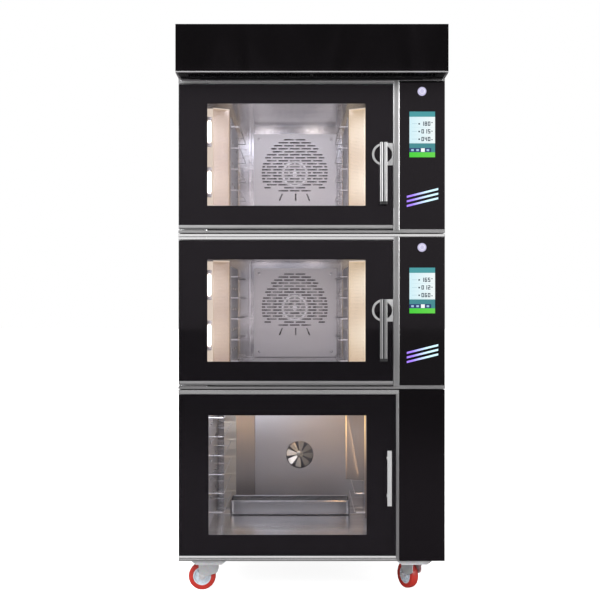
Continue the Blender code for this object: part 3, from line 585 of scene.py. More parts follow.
def baffle(tier):
    """Air baffle: folded sheet with slots, corner screws and three slanted vents at the bottom."""
    low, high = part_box(f"{tier}_fan_baffle")
    fan = Vector(JOINTS[f"{tier}_fan_spin"]["pos_m"])
    holes = grille_rows(fan)
    for offset, lean in ((-0.058, 0.012), (0.004, 0.0), (0.056, -0.012)):
        foot, head = fan.z - 0.114, fan.z - 0.084
        x = fan.x + offset
        holes.append([
            (x - 0.003 - lean / 2, foot), (x + 0.003 - lean / 2, foot),
            (x + 0.003 + lean / 2, head), (x - 0.003 + lean / 2, head),
        ])
    face = sheet(rectangle(low.x, low.z, high.x, high.z), holes, low.y + 0.0008, 0.0016)
    depth = high.y - low.y
    walls = blocks(
        ((low.x, low.y + 0.0016, low.z), (low.x + 0.0016, low.y + depth, high.z)),
        ((high.x - 0.0016, low.y + 0.0016, low.z), (high.x, low.y + depth, high.z)),
        ((low.x + 0.0016, low.y + 0.0016, high.z - 0.0016), (high.x - 0.0016, low.y + depth, high.z)),
    )
    piece = add(f"{tier}_air_baffle", merge(face, walls), BAFFLE, "cabinet")
    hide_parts(f"{tier}_fan_baffle")
    spots = [
        (x, low.y, z) for x in (low.x + 0.022, high.x - 0.022) for z in (low.z + 0.022, high.z - 0.022)
    ]
    add(f"{tier}_baffle_screws", screws(spots, "-Y"), TURNED, "cabinet")
    # The backing is a dark sheet that puts painted shade behind the slots.
    backing = sheet(
        rectangle(low.x + 0.003, low.z + 0.003, high.x - 0.003, high.z - 0.004),
        [circle((fan.x, fan.z), 0.012, 24)],
        high.y - 0.0008, 0.0008,
    )
    add(f"{tier}_baffle_backing", backing, BAFFLE_SHADE_STEEL, "cabinet")


def fan_wheel(tier):
    """Centrifugal wheel: back disc, hub with its nut, curved blades and the front ring."""
    centre = Vector(JOINTS[f"{tier}_fan_spin"]["pos_m"])
    front, back = 0.350 - centre.y, 0.396 - centre.y
    disc = turned(
        [(0.0, back), (0.117, back), (0.118, back - 0.001), (0.117, back - 0.002), (0.030, back - 0.002),
         (0.024, front + 0.020), (0.020, front + 0.012), (0.0, front + 0.012)],
    )
    nut = turned([(0.0, front + 0.001), (0.010, front + 0.001), (0.011, front + 0.003),
                  (0.011, front + 0.013)], segments=6)
    ring = turned(
        [(0.0460, front - 0.0010), (0.0480, front - 0.0045), (0.0520, front - 0.0050),
         (0.0545, front - 0.0020),
         (0.0535, front + 0.0040), (0.0500, front + 0.0060), (0.0465, front + 0.0030)],
        closed=True,
    )
    shapes = [disc]
    for spoke in range(3):
        turn = Matrix.Rotation(2 * math.pi * (spoke + 0.25) / 3, 4, "Z")
        shapes.append(shifted(blocks(((0.018, -0.0030, front + 0.004), (0.064, 0.0030, front + 0.0062))),
                              turn))
    count = 26
    for blade in range(count):
        bend = [(0.064 + 0.013 * step, math.radians(9.0 * step ** 1.35)) for step in range(5)]
        outline = []
        for side in (-1, 1):
            line = [
                (r * math.cos(a) - side * 0.0006 * math.sin(a),
                 r * math.sin(a) + side * 0.0006 * math.cos(a))
                for r, a in bend
            ]
            outline += line if side < 0 else list(reversed(line))
        turn = Matrix.Rotation(2 * math.pi * blade / count, 4, "Z")
        shapes.append(shifted(prism(outline, front + 0.002, back - 0.001), turn))
    stand = Matrix.Translation(centre) @ Matrix.Rotation(-math.pi / 2, 4, "X")
    shroud = turned(
        [(0.0590, front - 0.0030), (0.0860, front - 0.0005), (0.0890, front + 0.0020),
         (0.0860, front + 0.0015),
         (0.0595, front + 0.0005)],
        closed=True, segments=48,
    )
    # The shroud takes the dark painted-shade steel.
    add(f"{tier}_blower_shroud", shifted(shroud, stand), BAFFLE_SHADE_STEEL, f"{tier}_fan")
    # The nut and front ring carry the painted-highlight satin.
    add(f"{tier}_blower_ring", shifted(merge(nut, ring), stand), HIGHLIGHT_SATIN, f"{tier}_fan")
    piece = add(f"{tier}_blower", shifted(merge(*shapes), stand), WHEEL_STEEL, f"{tier}_fan")
    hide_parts(f"{tier}_fan_wheel")


def heating_element(tier):
    """Three turns of sheathed element around the fan."""
    low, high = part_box(f"{tier}_heating_ring")
    centre = Vector(JOINTS[f"{tier}_fan_spin"]["pos_m"])
    radius = (high.x - low.x) / 2 - 0.005
    turns = [
        wire(ring(centre, r, y, 48), 0.0042, closed=True)
        for r, y in ((radius, 0.357), (radius + 0.003, 0.372), (radius, 0.387))
    ]
    piece = add(f"{tier}_element_coil", merge(*turns), ELEMENT, "cabinet")
    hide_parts(f"{tier}_heating_ring")


def tray_rack(tier, levels):
    """Pan rack: side sheets with slots, bent rod runners on short struts, and cross bars on the floor."""
    node = f"{tier}_tray_rack"
    low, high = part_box(node)
    first_runner = {"upper": 0.090, "lower": 0.090, "prover": 0.1463}[tier]
    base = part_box(f"{tier}_casing")[0].z
    pitch = 0.0708 if tier == "prover" else 0.079
    reach = 0.060 if tier == "prover" else 0.035
    middle = (low.x + high.x) / 2
    half = (high.x - low.x) / 2
    shapes, noses = [], []
    for side in (-1, 1):
        outer = middle + side * half
        windows = []
        for level in range(levels - 1):
            z = base + first_runner + level * pitch
            for start in (0.10, 0.24, 0.38):
                windows.append(rounded(
                    low.y + start, z + 0.030, low.y + start + 0.07, z + 0.042, 0.0058,
                ))
        plate = rounded(low.y, low.z, high.y, high.z, 0.012)
        shapes.append(sheet(plate, windows, outer - side * 0.0010, 0.0018, "side"))
        for level in range(levels):
            z = base + first_runner + level * pitch
            inner = outer - side * reach
            edge = outer - side * 0.0019
            near = inner + side * 0.006
            shapes.append(wire(
                [(near, low.y + 0.002, z + 0.001), (inner + side * 0.0018, low.y + 0.004, z + 0.001),
                 (inner, low.y + 0.008, z + 0.001), (inner, high.y - 0.008, z + 0.001),
                 (inner + side * 0.0018, high.y - 0.004, z + 0.001), (near, high.y - 0.002, z + 0.001),
                 (edge, high.y - 0.002, z + 0.001)], 0.0014,
            ))
            place = low.y + 0.62 * (high.y - low.y)
            shapes.append(wire([(edge, place, z + 0.001), (inner, place, z + 0.001)], 0.0013))
            noses.append(wire(
                [(edge, low.y + 0.002, z + 0.0012), (near, low.y + 0.002, z + 0.001)], 0.0022,
            ))
    for y in (high.y - 0.20, high.y - 0.07):
        shapes.append(wire([(low.x + 0.001, y, low.z + 0.002), (high.x - 0.001, y, low.z + 0.002)], 0.0015))
    # The runner noses carry the painted-highlight satin.
    add(f"{tier}_rack_noses", merge(*noses), HIGHLIGHT_SATIN, "cabinet", smooth=40)
    piece = add(f"{tier}_pan_rack", merge(*shapes), RACK_STEEL, "cabinet", smooth=40)
    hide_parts(node)


def perforated(low_corner, high_corner, low_z, high_z, cell=0.0052):
    """Sheet between two upright lines, pierced with a hole in every cell of its grid."""
    bm = bmesh.new()
    start, end = Vector((*low_corner, 0)), Vector((*high_corner, 0))
    columns = max(1, round((end - start).length / cell))
    rows = max(1, round((high_z - low_z) / cell))

    def at(column, row):
        point = start.lerp(end, column / columns)
        return Vector((point.x, point.y, low_z + (high_z - low_z) * row / rows))

    for column in range(columns):
        for row in range(rows):
            outer = [at(column, row), at(column + 1, row), at(column + 1, row + 1), at(column, row + 1)]
            heart = sum(outer, Vector()) / 4
            if column in (0, columns - 1) or row in (0, rows - 1):
                bm.faces.new([bm.verts.new(corner) for corner in outer])
                continue
            mids = [(outer[i] + outer[(i + 1) % 4]) / 2 for i in range(4)]
            inner = [heart.lerp(mid, 0.62) for mid in mids]
            for i in range(4):
                ring = (outer[i], mids[i], inner[i], inner[i - 1], mids[i - 1])
                bm.faces.new([bm.verts.new(corner) for corner in ring])
    bmesh.ops.remove_doubles(bm, verts=bm.verts, dist=1e-6)
    return bm


def lamp_unit(tier, side):
    """Lamp cover of one front corner: pierced reflector, its back plate, two lamps in their sockets."""
    node = f"{tier}_lamp_{side}"
    low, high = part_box(node)
    left = side == "left"
    wall, tip = (low.x, high.x) if left else (high.x, low.x)
    way = 1 if left else -1
    bend = wall + way * 0.0255
    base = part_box(f"{tier}_casing")[0].z
    lamps = [base + 0.375, base + 0.190]
    if left:
        glow = reflector(f"{node}_glow", (0.76, 0.50, 0.30), (1.0, 0.78, 0.52), 0.57, lamps, 0.09,
                         (bend, tip))
    else:
        glow = reflector(f"{node}_glow", (0.93, 0.66, 0.34), (1.0, 0.88, 0.60), 0.84, lamps, 0.08,
                         (bend, tip))
    plate = perforated((bend, -0.2865), (tip, -0.2445), low.z, high.z)
    piece = add(f"{tier}_reflector_{side}", plate, glow, "cabinet", thickness=0.0012)
    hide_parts(node)
    # Painted light: the frame strips glow though they are plain metal, standing in for their lit edges beside
    # the lamp cover.
    glowing_frame_strip = merge(
        prism([(wall, -0.2875), (bend, -0.2875), (bend, -0.2862), (wall, -0.2862)], low.z, high.z),
        prism([(bend, -0.2885), (tip, -0.2465), (tip, -0.2425), (bend, -0.2845)], high.z, high.z + 0.0035),
        prism([(bend, -0.2885), (tip, -0.2465), (tip, -0.2425), (bend, -0.2845)], low.z - 0.003, low.z),
    )
    add(f"{tier}_reflector_frame_{side}", glowing_frame_strip, lit(f"{node}_frame", (1.0, 0.86, 0.66), 0.9),
        "cabinet", bevel=0.0004)
    lamp_x = wall + way * 0.0125
    for number, middle in enumerate(lamps, 1):
        bulb = turned(
            [(0.0, -0.042), (0.003, -0.041), (0.0062, -0.036), (0.0070, -0.030), (0.0070, 0.030),
             (0.0062, 0.036), (0.003, 0.041), (0.0, 0.042)],
            (lamp_x, -0.2965, middle), segments=20,
        )
        add(f"{tier}_lamp_bulb_{side}_{number}", bulb, lit(f"{node}_bulb_{number}", (1.0, 0.93, 0.80), 5.0),
            "cabinet")
        sockets = merge(*(
            turned(
                [(0.0, -0.007), (0.007, -0.007), (0.009, -0.005), (0.009, 0.005), (0.007, 0.007),
                 (0.0, 0.007)],
                (lamp_x, -0.2965, middle + up), segments=16,
            )
            for up in (-0.048, 0.048)
        ))
        add(f"{tier}_lamp_socket_{side}_{number}", sockets, CERAMIC, "cabinet")


def door_panes(tier):
    """Front pane, and the black print behind it with a clear window."""
    door = f"{tier}_door"
    outer = f"{tier}_door_outer_glass" if tier != "prover" else "prover_door_glass"
    low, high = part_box(outer)
    window_low, window_high = WINDOWS[tier]
    paint(outer, PANE)
    hole = rounded(window_low.x + 0.0085, window_low.z + 0.0095, window_high.x - 0.0085,
                   window_high.z - 0.0075, 0.002)
    border = rectangle(low.x + 0.0004, low.z + 0.0004, high.x - 0.0004, high.z - 0.0004)
    piece = add(f"{tier}_door_print", sheet(border, [hole], high.y + 0.0002, 0.0003), PRINT, door)


def handle(tier):
    """Quarter-turn lever: two bright half bars with a dark groove, on a black disc with a steel rim."""
    centre = Vector(JOINTS[f"{tier}_handle_turn"]["pos_m"])
    low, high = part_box(f"{tier}_door_handle")
    front, back = low.y, low.y + 0.012
    body = f"{tier}_handle"
    bars = []
    half = 0.0133
    for side in (-1, 1):
        left = centre.x + (side * half if side < 0 else 0.0022)
        right = centre.x + (side * half if side > 0 else -0.0022)
        bars.append(prism(rounded(left, front, right, back, 0.0038, 5), low.z + 0.010, high.z))
    piece = add(f"{tier}_lever", merge(*bars), LEVER_STEEL, body, bevel=0.0006)
    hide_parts(f"{tier}_door_handle")
    core = merge(
        blocks(((centre.x - 0.0024, front + 0.003, low.z + 0.010),
                (centre.x + 0.0024, back - 0.001, high.z - 0.001))),
        prism(rounded(centre.x - half, front + 0.0004, centre.x + half, back, 0.0038, 5), low.z,
              low.z + 0.0098),
    )
    add(f"{tier}_lever_core", core, DARK, body, bevel=0.0004)
    hub = turned(
        [(0.0, 0.027), (0.010, 0.027), (0.0115, 0.024), (0.0115, 0.006), (0.0135, 0.0045), (0.0300, 0.0040),
         (0.0312, 0.0030), (0.0312, 0.0006), (0.0, 0.0006)],
        centre, "-Y", 48,
    )
    add(f"{tier}_lever_hub", hub, BLACK, body)


def latch(tier):
    """Latch plate: a raised round rim on the window side and a square tab at the door's edge."""
    low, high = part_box(f"{tier}_latch_plate")
    centre = Vector(JOINTS[f"{tier}_handle_turn"]["pos_m"])
    radius = (high.z - low.z) / 2
    outline = arc((centre.x, centre.z), radius, 90, 270, 28) + [(high.x, low.z), (high.x, high.z)]
    hole = circle((centre.x, centre.z), 0.0322, 40)
    piece = add(
        f"{tier}_latch_cover", sheet(outline, [hole], (low.y + high.y) / 2, high.y - low.y), SATIN,
        f"{tier}_door", bevel=0.0007,
    )
    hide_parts(f"{tier}_latch_plate")


def inset(tier, share_low, share_high):
    """Part of the display, by its shares of the display's width and height, from the top left."""
    low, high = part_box(f"{tier}_display")
    low, high = low + Vector((0.008, 0, 0.008)), high - Vector((0.008, 0, 0.008))
    width, height = high.x - low.x, high.z - low.z
    left, top = share_low
    right, bottom = share_high
    return (low.x + left * width, high.z - bottom * height, low.x + right * width, high.z - top * height)


SEGMENTS = {
    "0": "abcdef", "1": "bc", "2": "abged", "3": "abgcd", "4": "fgbc", "5": "afgcd", "6": "afgecd",
    "7": "abc", "8": "abcdefg", "9": "abcdfg",
}


def digit_bars(character, left, low, width, height, pen):
    """The strokes of one digit, as rectangles."""
    middle = low + height / 2
    right, top = left + width, low + height
    places = {
        "a": (left, top - pen, right, top),
        "b": (right - pen, middle, right, top),
        "c": (right - pen, low, right, middle),
        "d": (left, low, right, low + pen),
        "e": (left, low, left + pen, middle),
        "f": (left, middle, left + pen, top),
        "g": (left, middle - pen / 2, right, middle + pen / 2),
    }
    return [places[segment] for segment in SEGMENTS[character]]


def display_layer(tier, name, areas, material, lift):
    """Thin raised patches on the screen, all in one piece."""
    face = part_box(f"{tier}_display")[0].y
    flats = [((left, face - lift, low), (right, face - 0.00005, high)) for left, low, right, high in areas]
    add(f"{tier}_screen_{name}", blocks(*flats), material, "cabinet")


SCREEN = {
    "header": lit("screen_header", (0.055, 0.33, 0.36), 0.95),
    "body": lit("screen_body", (0.66, 0.90, 0.97), 0.95, second=(0.93, 1.0, 1.0), axis="X", low=0.352,
                high=0.444),
    "dim": lit("screen_dim", (0.50, 0.72, 0.80), 0.9),
    "ink": lit("screen_ink", (0.006, 0.03, 0.07), 0.6),
    "band": lit("screen_band", (0.05, 0.27, 0.30), 0.9),
    "navy": lit("screen_navy", (0.012, 0.045, 0.16), 0.9),
    "icon": lit("screen_icon", (0.42, 0.62, 0.85), 0.9),
    "chosen": lit("screen_chosen", (0.95, 1.0, 1.0), 1.0),
    "green": lit("screen_green", (0.05, 0.62, 0.03), 1.0, second=(0.12, 0.66, 0.06), axis="X", low=0.352,
                 high=0.444),
}


def display(tier):
    """Touch screen: coloured bands, three rows of values, four tool icons and the start bar."""
    paint(f"{tier}_display", BLACK)
    values = {"upper": ("180", "015", "040"), "lower": ("165", "012", "060")}[tier]
    display_layer(tier, "header", [inset(tier, (0.0, 0.0), (1.0, 0.115))], SCREEN["header"], 0.0002)
    display_layer(tier, "body", [inset(tier, (0.0, 0.115), (1.0, 0.695))], SCREEN["body"], 0.0002)
    display_layer(tier, "band", [inset(tier, (0.0, 0.695), (1.0, 0.890))], SCREEN["band"], 0.0002)
    display_layer(tier, "navy", [inset(tier, (0.0, 0.798), (0.85, 0.888))], SCREEN["navy"], 0.0003)
    display_layer(tier, "green", [inset(tier, (0.0, 0.890), (1.0, 1.0))], SCREEN["green"], 0.0002)
    ink, dim = [], []
    for row, value in enumerate(values):
        middle = 0.265 + 0.168 * row
        for place, character in enumerate(value):
            left = 0.47 + 0.125 * place
            x, z, right, top = inset(tier, (left, middle - 0.046), (left + 0.095, middle + 0.046))
            ink += digit_bars(character, x, z, right - x, top - z, 0.0027)
        ink.append(inset(tier, (0.35, middle - 0.012), (0.41, middle + 0.020)))
        ink.append(inset(tier, (0.86, middle - 0.036 + 0.02 * row), (0.90, middle - 0.012 + 0.02 * row)))
        dim.append(inset(tier, (0.10, middle - 0.004), (0.30, middle + 0.006)))
        dim.append(inset(tier, (0.08, middle + 0.078), (0.94, middle + 0.081)))
    display_layer(tier, "digits", ink, SCREEN["ink"], 0.0003)
    display_layer(tier, "hints", dim, SCREEN["dim"], 0.0003)
    icons = [inset(tier, (0.07 + 0.20 * n, 0.822), (0.17 + 0.20 * n, 0.866)) for n in (0, 1, 3)]
    display_layer(tier, "icons", icons, SCREEN["icon"], 0.0004)
    display_layer(tier, "chosen", [inset(tier, (0.45, 0.804), (0.60, 0.882))], SCREEN["chosen"], 0.0004)


def light_bars(tier):
    """Status light: three parallel slanted strips behind the glass, violet left and ice blue right."""
    low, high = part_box(f"{tier}_control_panel")
    left, right = high.x - 0.137, high.x - 0.024
    middle = high.z - 0.4195
    glow = lit(
        f"{tier}_status_light", (0.36, 0.20, 0.95), 1.25, second=(0.62, 0.90, 1.0), axis="X",
        low=left + 0.02,
        high=left + 0.075,
    )
    rise = 0.028
    strips = []
    for step in (-1, 0, 1):
        z = middle + step * 0.0165
        strips.append(sheet(
            [(left, z - rise / 2 - 0.0035), (right, z + rise / 2 - 0.0035),
             (right, z + rise / 2 + 0.0035), (left, z - rise / 2 + 0.0035)],
            [], low.y - 0.0002, 0.0004,
        ))
    piece = add(f"{tier}_status_bars", merge(*strips), glow, "cabinet")


def power_button(tier):
    """Domed backlit cap in a bright bezel."""
    low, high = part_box(f"{tier}_power_button")
    centre = Vector(((low.x + high.x) / 2, low.y + 0.004, (low.z + high.z) / 2))
    cap = turned(
        [(0.0, 0.0042), (0.005, 0.0041), (0.010, 0.0036), (0.0142, 0.0024), (0.0152, 0.0008),
         (0.0153, -0.006),
         (0.0, -0.006)],
        centre, "-Y", 40,
    )
    glow = lit(f"{tier}_button_glow", (0.70, 0.66, 0.92), 0.85, 0.05)
    piece = add(f"{tier}_button_cap", cap, glow, f"{tier}_button")
    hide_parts(f"{tier}_power_button")
    ring = turned([(0.0078, 0.0044), (0.0085, 0.0047), (0.0092, 0.0044), (0.0085, 0.0035)], centre, "-Y",
                  36,
                  closed=True)
    add(f"{tier}_button_ring", ring, lit(f"{tier}_ring_glow", (0.93, 0.92, 1.0), 1.0), f"{tier}_button")


def hinge(tier):
    """Door hinge: polished plate and block with rounded noses, and the pin."""
    node = f"{tier}_door_hinge"
    low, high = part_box(node)
    pin_x, pin_y, _ = JOINTS[f"{tier}_door_swing"]["pos_m"]
    outline = arc((low.x + 0.012, low.y + 0.014), 0.012, 180, 270, 5)
    outline += arc((high.x - 0.012, low.y + 0.014), 0.012, 270, 360, 5)
    outline += [(high.x, high.y), (low.x, high.y)]
    block_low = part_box(f"{tier}_door_frame")[1].z + 0.0023
    shapes = [
        prism(outline, low.z, low.z + 0.0034),
        prism(outline, block_low, block_low + 0.0044),
        prism(outline, block_low + 0.0056, block_low + 0.0100),
        turned([(0.0, low.z), (0.005, low.z), (0.005, high.z - 0.0008), (0.0, high.z - 0.0008)],
               (pin_x, pin_y, 0), segments=24),
    ]
    piece = add(f"{tier}_hinge_plates", merge(*shapes), BRIGHT, "cabinet", bevel=0.0006)
    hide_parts(node)


def rail_cover(name, left, right, low, high, lean=0.0014):
    """Bright cover of a front rail: a face that leans back over a rolled lower edge."""
    outline = [
        (FRONT + 0.0006, high), (FRONT - 0.0002, high - 0.0006), (FRONT - 0.0002 - lean, low + 0.0022),
        (FRONT - 0.0003 - lean, low + 0.0010), (FRONT + 0.0002 - lean, low + 0.0002), (FRONT + 0.0006, low),
    ]
    add(name, prism(outline, left, right, "X"), RAIL_STEEL, "cabinet")


def post_cover(name, left, right, low, high):
    """Slightly domed cover of a post, with a folded edge at each side."""
    outline = [
        (left, FRONT + 0.0006), (left + 0.0002, FRONT - 0.0008), (left + 0.0012, FRONT - 0.0012),
        ((left + right) / 2, FRONT - 0.0016), (right - 0.0030, FRONT - 0.0012),
        (right - 0.0014, FRONT - 0.0018),
        (right - 0.0002, FRONT - 0.0014), (right, FRONT + 0.0006),
    ]
    add(name, prism(outline, low, high), BRUSHED_UPRIGHT, "cabinet")


def oven_trims(tier):
    """Covers on the front rail and on the post beside the controls."""
    base, top = (corner.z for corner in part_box(f"{tier}_casing"))
    panel_low, panel_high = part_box(f"{tier}_control_panel")
    door_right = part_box(f"{tier}_door_frame")[1].x
    lean = -0.0004 if tier == "upper" else 0.0014
    rail_cover(f"{tier}_rail_upper", -HALF + 0.0005, HALF - 0.0010, panel_high.z + 0.0012, top - 0.0003,
               lean)
    rail_cover(f"{tier}_rail_lower", -HALF + 0.0005, door_right + 0.0012, base + 0.5372,
               panel_high.z + 0.0004, lean)
    post_cover(f"{tier}_post_trim", door_right + 0.0016, panel_low.x - 0.0006, base + 0.0085,
               panel_high.z + 0.0006)


def baffle_guides(tier):
    """Two upright channels beside the baffle that it hangs in, from the chamber's floor to its ceiling."""
    low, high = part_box(f"{tier}_fan_baffle")
    floor_z, roof_z = low.z - 0.002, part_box(f"{tier}_chamber")[1].z - 0.0035
    strips = []
    for x in (low.x - 0.0165, high.x + 0.0195):
        strips.append(prism(
            [(x - 0.0025, low.y - 0.004), (x + 0.0025, low.y - 0.004), (x + 0.0025, low.y - 0.003),
             (x - 0.0015, low.y - 0.003), (x - 0.0015, low.y + 0.030), (x - 0.0025, low.y + 0.030)],
            floor_z, roof_z,
        ))
    add(f"{tier}_baffle_guides", merge(*strips), RAIL_STEEL, "cabinet")


def frame_steel(tier):
    """Folded door frame, with a bright cover on the trim under its pane."""
    paint(f"{tier}_door_frame", BRUSHED)
    low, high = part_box(f"{tier}_door_frame")
    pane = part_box("prover_door_glass" if tier == "prover" else f"{tier}_door_outer_glass")[0].z
    foot, head = low.z + 0.0003, pane - 0.0009
    lean = 0.0034 if tier == "prover" else 0.0009
    trim = prism(
        [(FRONT + 0.0006, head), (FRONT - 0.0003, head - 0.0004), (FRONT - 0.0003 - lean, foot + 0.0016),
         (FRONT - 0.0001 - lean, foot + 0.0003), (FRONT + 0.0006, foot)],
        low.x + 0.0006, high.x - 0.0006, "X",
    )
    add(f"{tier}_door_trim", trim, BRUSHED if tier != "prover" else RAIL_STEEL, f"{tier}_door")


WINDOWS = {}
for tier in TIERS:
    WINDOWS[tier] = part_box(f"{tier}_door_inner_glass")
WINDOWS["prover"] = (Vector((-0.3800, 0, 0.2095)), Vector((0.2065, 0, 0.6565)))


def oven(tier):
    paint(f"{tier}_casing", BRUSHED)
    paint(f"{tier}_chamber", LINER)
    paint(f"{tier}_control_panel", BLACK)
    paint(f"{tier}_door_inner_glass", PANE)
    paint(f"{tier}_door_gasket", RUBBER)
    frame_steel(tier)
    baffle(tier)
    fan_wheel(tier)
    heating_element(tier)
    tray_rack(tier, 5)
    for side in ("left", "right"):
        lamp_unit(tier, side)
    door_panes(tier)
    handle(tier)
    latch(tier)
    display(tier)
    light_bars(tier)
    power_button(tier)
    hinge(tier)
    oven_trims(tier)
    baffle_guides(tier)


for tier in TIERS:
    oven(tier)


# Proving cabinet


def prover_fan():
    """Small axial wheel: eight pitched blades on a stepped hub, in front of a dark opening."""
    centre = Vector(JOINTS["prover_fan_spin"]["pos_m"])
    shapes = [
        turned([(0.0, -0.0125), (0.006, -0.0120), (0.0075, -0.010), (0.0125, -0.0085), (0.0135, -0.006),
                (0.0135, 0.012), (0.0, 0.012)], segments=28),
    ]
    for blade in range(8):
        outline = [(0.012, -0.0035), (0.030, -0.0100), (0.052, -0.0155), (0.0555, -0.006), (0.0550, 0.007),
                   (0.052, 0.0125), (0.030, 0.0080), (0.012, 0.0035)]
        vane = shifted(prism(outline, -0.0006, 0.0006), Matrix.Rotation(math.radians(20), 4, "X"))
        shapes.append(shifted(vane, Matrix.Rotation(2 * math.pi * (blade + 0.2) / 8, 4, "Z")))
    stand = Matrix.Translation(centre) @ Matrix.Rotation(-math.pi / 2, 4, "X")
    piece = add("prover_blower", shifted(merge(*shapes), stand), WARM_STEEL, "prover_fan")
    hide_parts("prover_fan_wheel")


def prover_back():
    """Back of the chamber: a middle sheet with the fan opening, a slanted corner strip and a stop plate."""
    low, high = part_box("prover_chamber")
    fan = Vector(JOINTS["prover_fan_spin"]["pos_m"])
    wall = high.y - 0.002
    floor_z, roof_z = low.z + 0.0035, high.z - 0.0035
    middle = sheet(
        rectangle(-0.2295, floor_z, 0.2225, roof_z), [circle((fan.x, fan.z), 0.0575, 48)], wall - 0.0010,
        0.0016,
    )
    fold = prism(
        [(wall - 0.0018, floor_z + 0.062), (wall - 0.0040, floor_z + 0.060),
         (wall - 0.0040, floor_z + 0.058),
         (wall - 0.0018, floor_z + 0.056)], -0.2290, 0.2220, "X",
    )
    add("prover_back_sheet", merge(middle, fold), BACK_SHEET, "cabinet")
    strip = prism([(-0.2310, wall - 0.0020), (-0.3070, wall - 0.0330), (-0.3070, wall - 0.0345),
                   (-0.2310, wall - 0.0035)], floor_z, roof_z)
    add("prover_corner_strip", strip, CORNER_SHEET, "cabinet")
    ladder = [prism([(-0.3075, wall - 0.0350), (-0.3575, wall - 0.0350), (-0.3575, wall - 0.0364),
                     (-0.3075, wall - 0.0364)], floor_z, roof_z)]
    for level in range(6):
        z = 0.2713 + 0.0708 * level
        ladder.append(blocks(((-0.3575, wall - 0.0480, z - 0.0012), (-0.3080, wall - 0.0364, z + 0.0006))))
        ladder.append(shifted(
            blocks(((-0.0235, -0.0006, -0.0150), (0.0235, 0.0006, 0.0150))),
            Matrix.Translation((-0.3325, wall - 0.0395, z + 0.0210)) @ Matrix.Rotation(math.radians(9), 4,
                                                                                       "X"),
        ))
    add("prover_stop_plate", merge(*ladder), WARM_STEEL, "cabinet", bevel=0.0003)
    backing = sheet(rectangle(fan.x - 0.070, fan.z - 0.070, fan.x + 0.070, fan.z + 0.070),
                    [circle((fan.x, fan.z), 0.010, 20)], wall + 0.0420, 0.0008)
    add("prover_fan_backing", backing, CORNER_SHEET, "cabinet")
    add("prover_fan_rim", wire(ring(fan, 0.058, wall + 0.0005, 40), 0.0010, closed=True), CORNER_SHEET,
        "cabinet")


def prover_lamp():
    """Lamp cover in the right front corner: a brown sheet between two bright folded edges, all glowing with
    painted light that fades towards the bottom.
    """
    low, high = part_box("prover_lamp")
    s = Shader("prover_lamp_glow")
    height = s.axis("Z")
    fade = s.span(height, 0.0, 1.0, 0.40, 0.58)
    tint = s.blend(s.noise(s.scaled(30, 30, 8), detail=2.0), rgb(0.30, 0.18, 0.105), rgb(0.26, 0.23, 0.21))
    shade = s.node("BsdfPrincipled", Base_Color=rgb(0.24, 0.22, 0.20), Roughness=0.30, Metallic=0.85)
    s.plug(shade.inputs["Emission Color"], tint)
    s.plug(shade.inputs["Emission Strength"], s.span(fade, 0.12, 0.88))
    brown = s.finish(shade.outputs[0])
    # Painted light: the folded edges glow, strongest near the top, standing in for the bulb's light on them.
    e = Shader("prover_lamp_edge")
    fade = e.span(e.axis("Z"), 0.0, 1.0, 0.43, 0.60)
    shade = e.node("BsdfPrincipled", Base_Color=rgb(0.45, 0.40, 0.34), Roughness=0.3, Metallic=0.9)
    e.plug(shade.inputs["Emission Color"], e.blend(fade, rgb(0.5, 0.30, 0.15), rgb(1.0, 0.66, 0.26)))
    e.plug(shade.inputs["Emission Strength"], e.span(fade, 0.06, 1.30))
    edge_glow = e.finish(shade.outputs[0])
    bend, tip = high.x - 0.0255, low.x - 0.012
    foot = 0.400
    plate = merge(
        prism([(bend, -0.2865), (tip, -0.2445), (tip, -0.2430), (bend, -0.2850)], foot, high.z),
        prism([(high.x, -0.2895), (bend, -0.2865), (bend, -0.2850), (high.x, -0.2880)], low.z, high.z),
    )
    piece = add("prover_lamp_sheet", plate, brown, "cabinet")
    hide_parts("prover_lamp")
    edges = merge(
        prism([(tip - 0.0008, -0.2455), (tip + 0.0024, -0.2475), (tip + 0.0024, -0.2440),
               (tip - 0.0008, -0.2420)],
              foot, high.z),
        prism([(bend - 0.0030, -0.2860), (bend + 0.0010, -0.2890), (bend + 0.0010, -0.2850),
               (bend - 0.0030, -0.2830)],
              foot - 0.050, high.z),
        prism([(bend, -0.2880), (tip, -0.2460), (tip, -0.2425), (bend, -0.2845)], high.z, high.z + 0.0025),
    )
    add("prover_lamp_edges", edges, edge_glow, "cabinet", bevel=0.0003)
    bulb = turned([(0.0, -0.040), (0.004, -0.039), (0.0070, -0.034), (0.0070, 0.034), (0.004, 0.039),
                   (0.0, 0.040)],
                  (high.x - 0.0125, -0.2965, 0.520), segments=20)
    add("prover_lamp_bulb", bulb, lit("prover_bulb", (1.0, 0.80, 0.55), 3.0), "cabinet")


def prover_tray():
    """Water tray: thin sheet with a rolled rim and round upright corners."""
    low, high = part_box("prover_water_tray")
    outer = rounded(low.x, low.y, high.x, high.y, 0.014, 6)
    inner = rounded(low.x + 0.0012, low.y + 0.0012, high.x - 0.0012, high.y - 0.0012, 0.0128, 6)
    top = high.z + 0.010
    walls = sheet(outer, [inner], (low.z + top) / 2, top - low.z - 0.002, "flat")
    bottom = sheet(rounded(low.x + 0.001, low.y + 0.001, high.x - 0.001, high.y - 0.001, 0.013, 6), [],
                   low.z + 0.0012, 0.0012, "flat")
    rim = wire([(x, y, top - 0.0016) for x, y in rounded(low.x + 0.001, low.y + 0.001, high.x - 0.001,
                                                              high.y - 0.001, 0.013, 6)], 0.0022,
               closed=True)
    water = sheet(rounded(low.x + 0.002, low.y + 0.002, high.x - 0.002, high.y - 0.002, 0.012, 6), [],
                  low.z + 0.024, 0.001, "flat")
    piece = add("prover_evaporator_tray", merge(walls, bottom, rim), LINER, "cabinet")
    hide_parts("prover_water_tray")
    add("prover_tray_water", water, PANE_WATER, "cabinet")


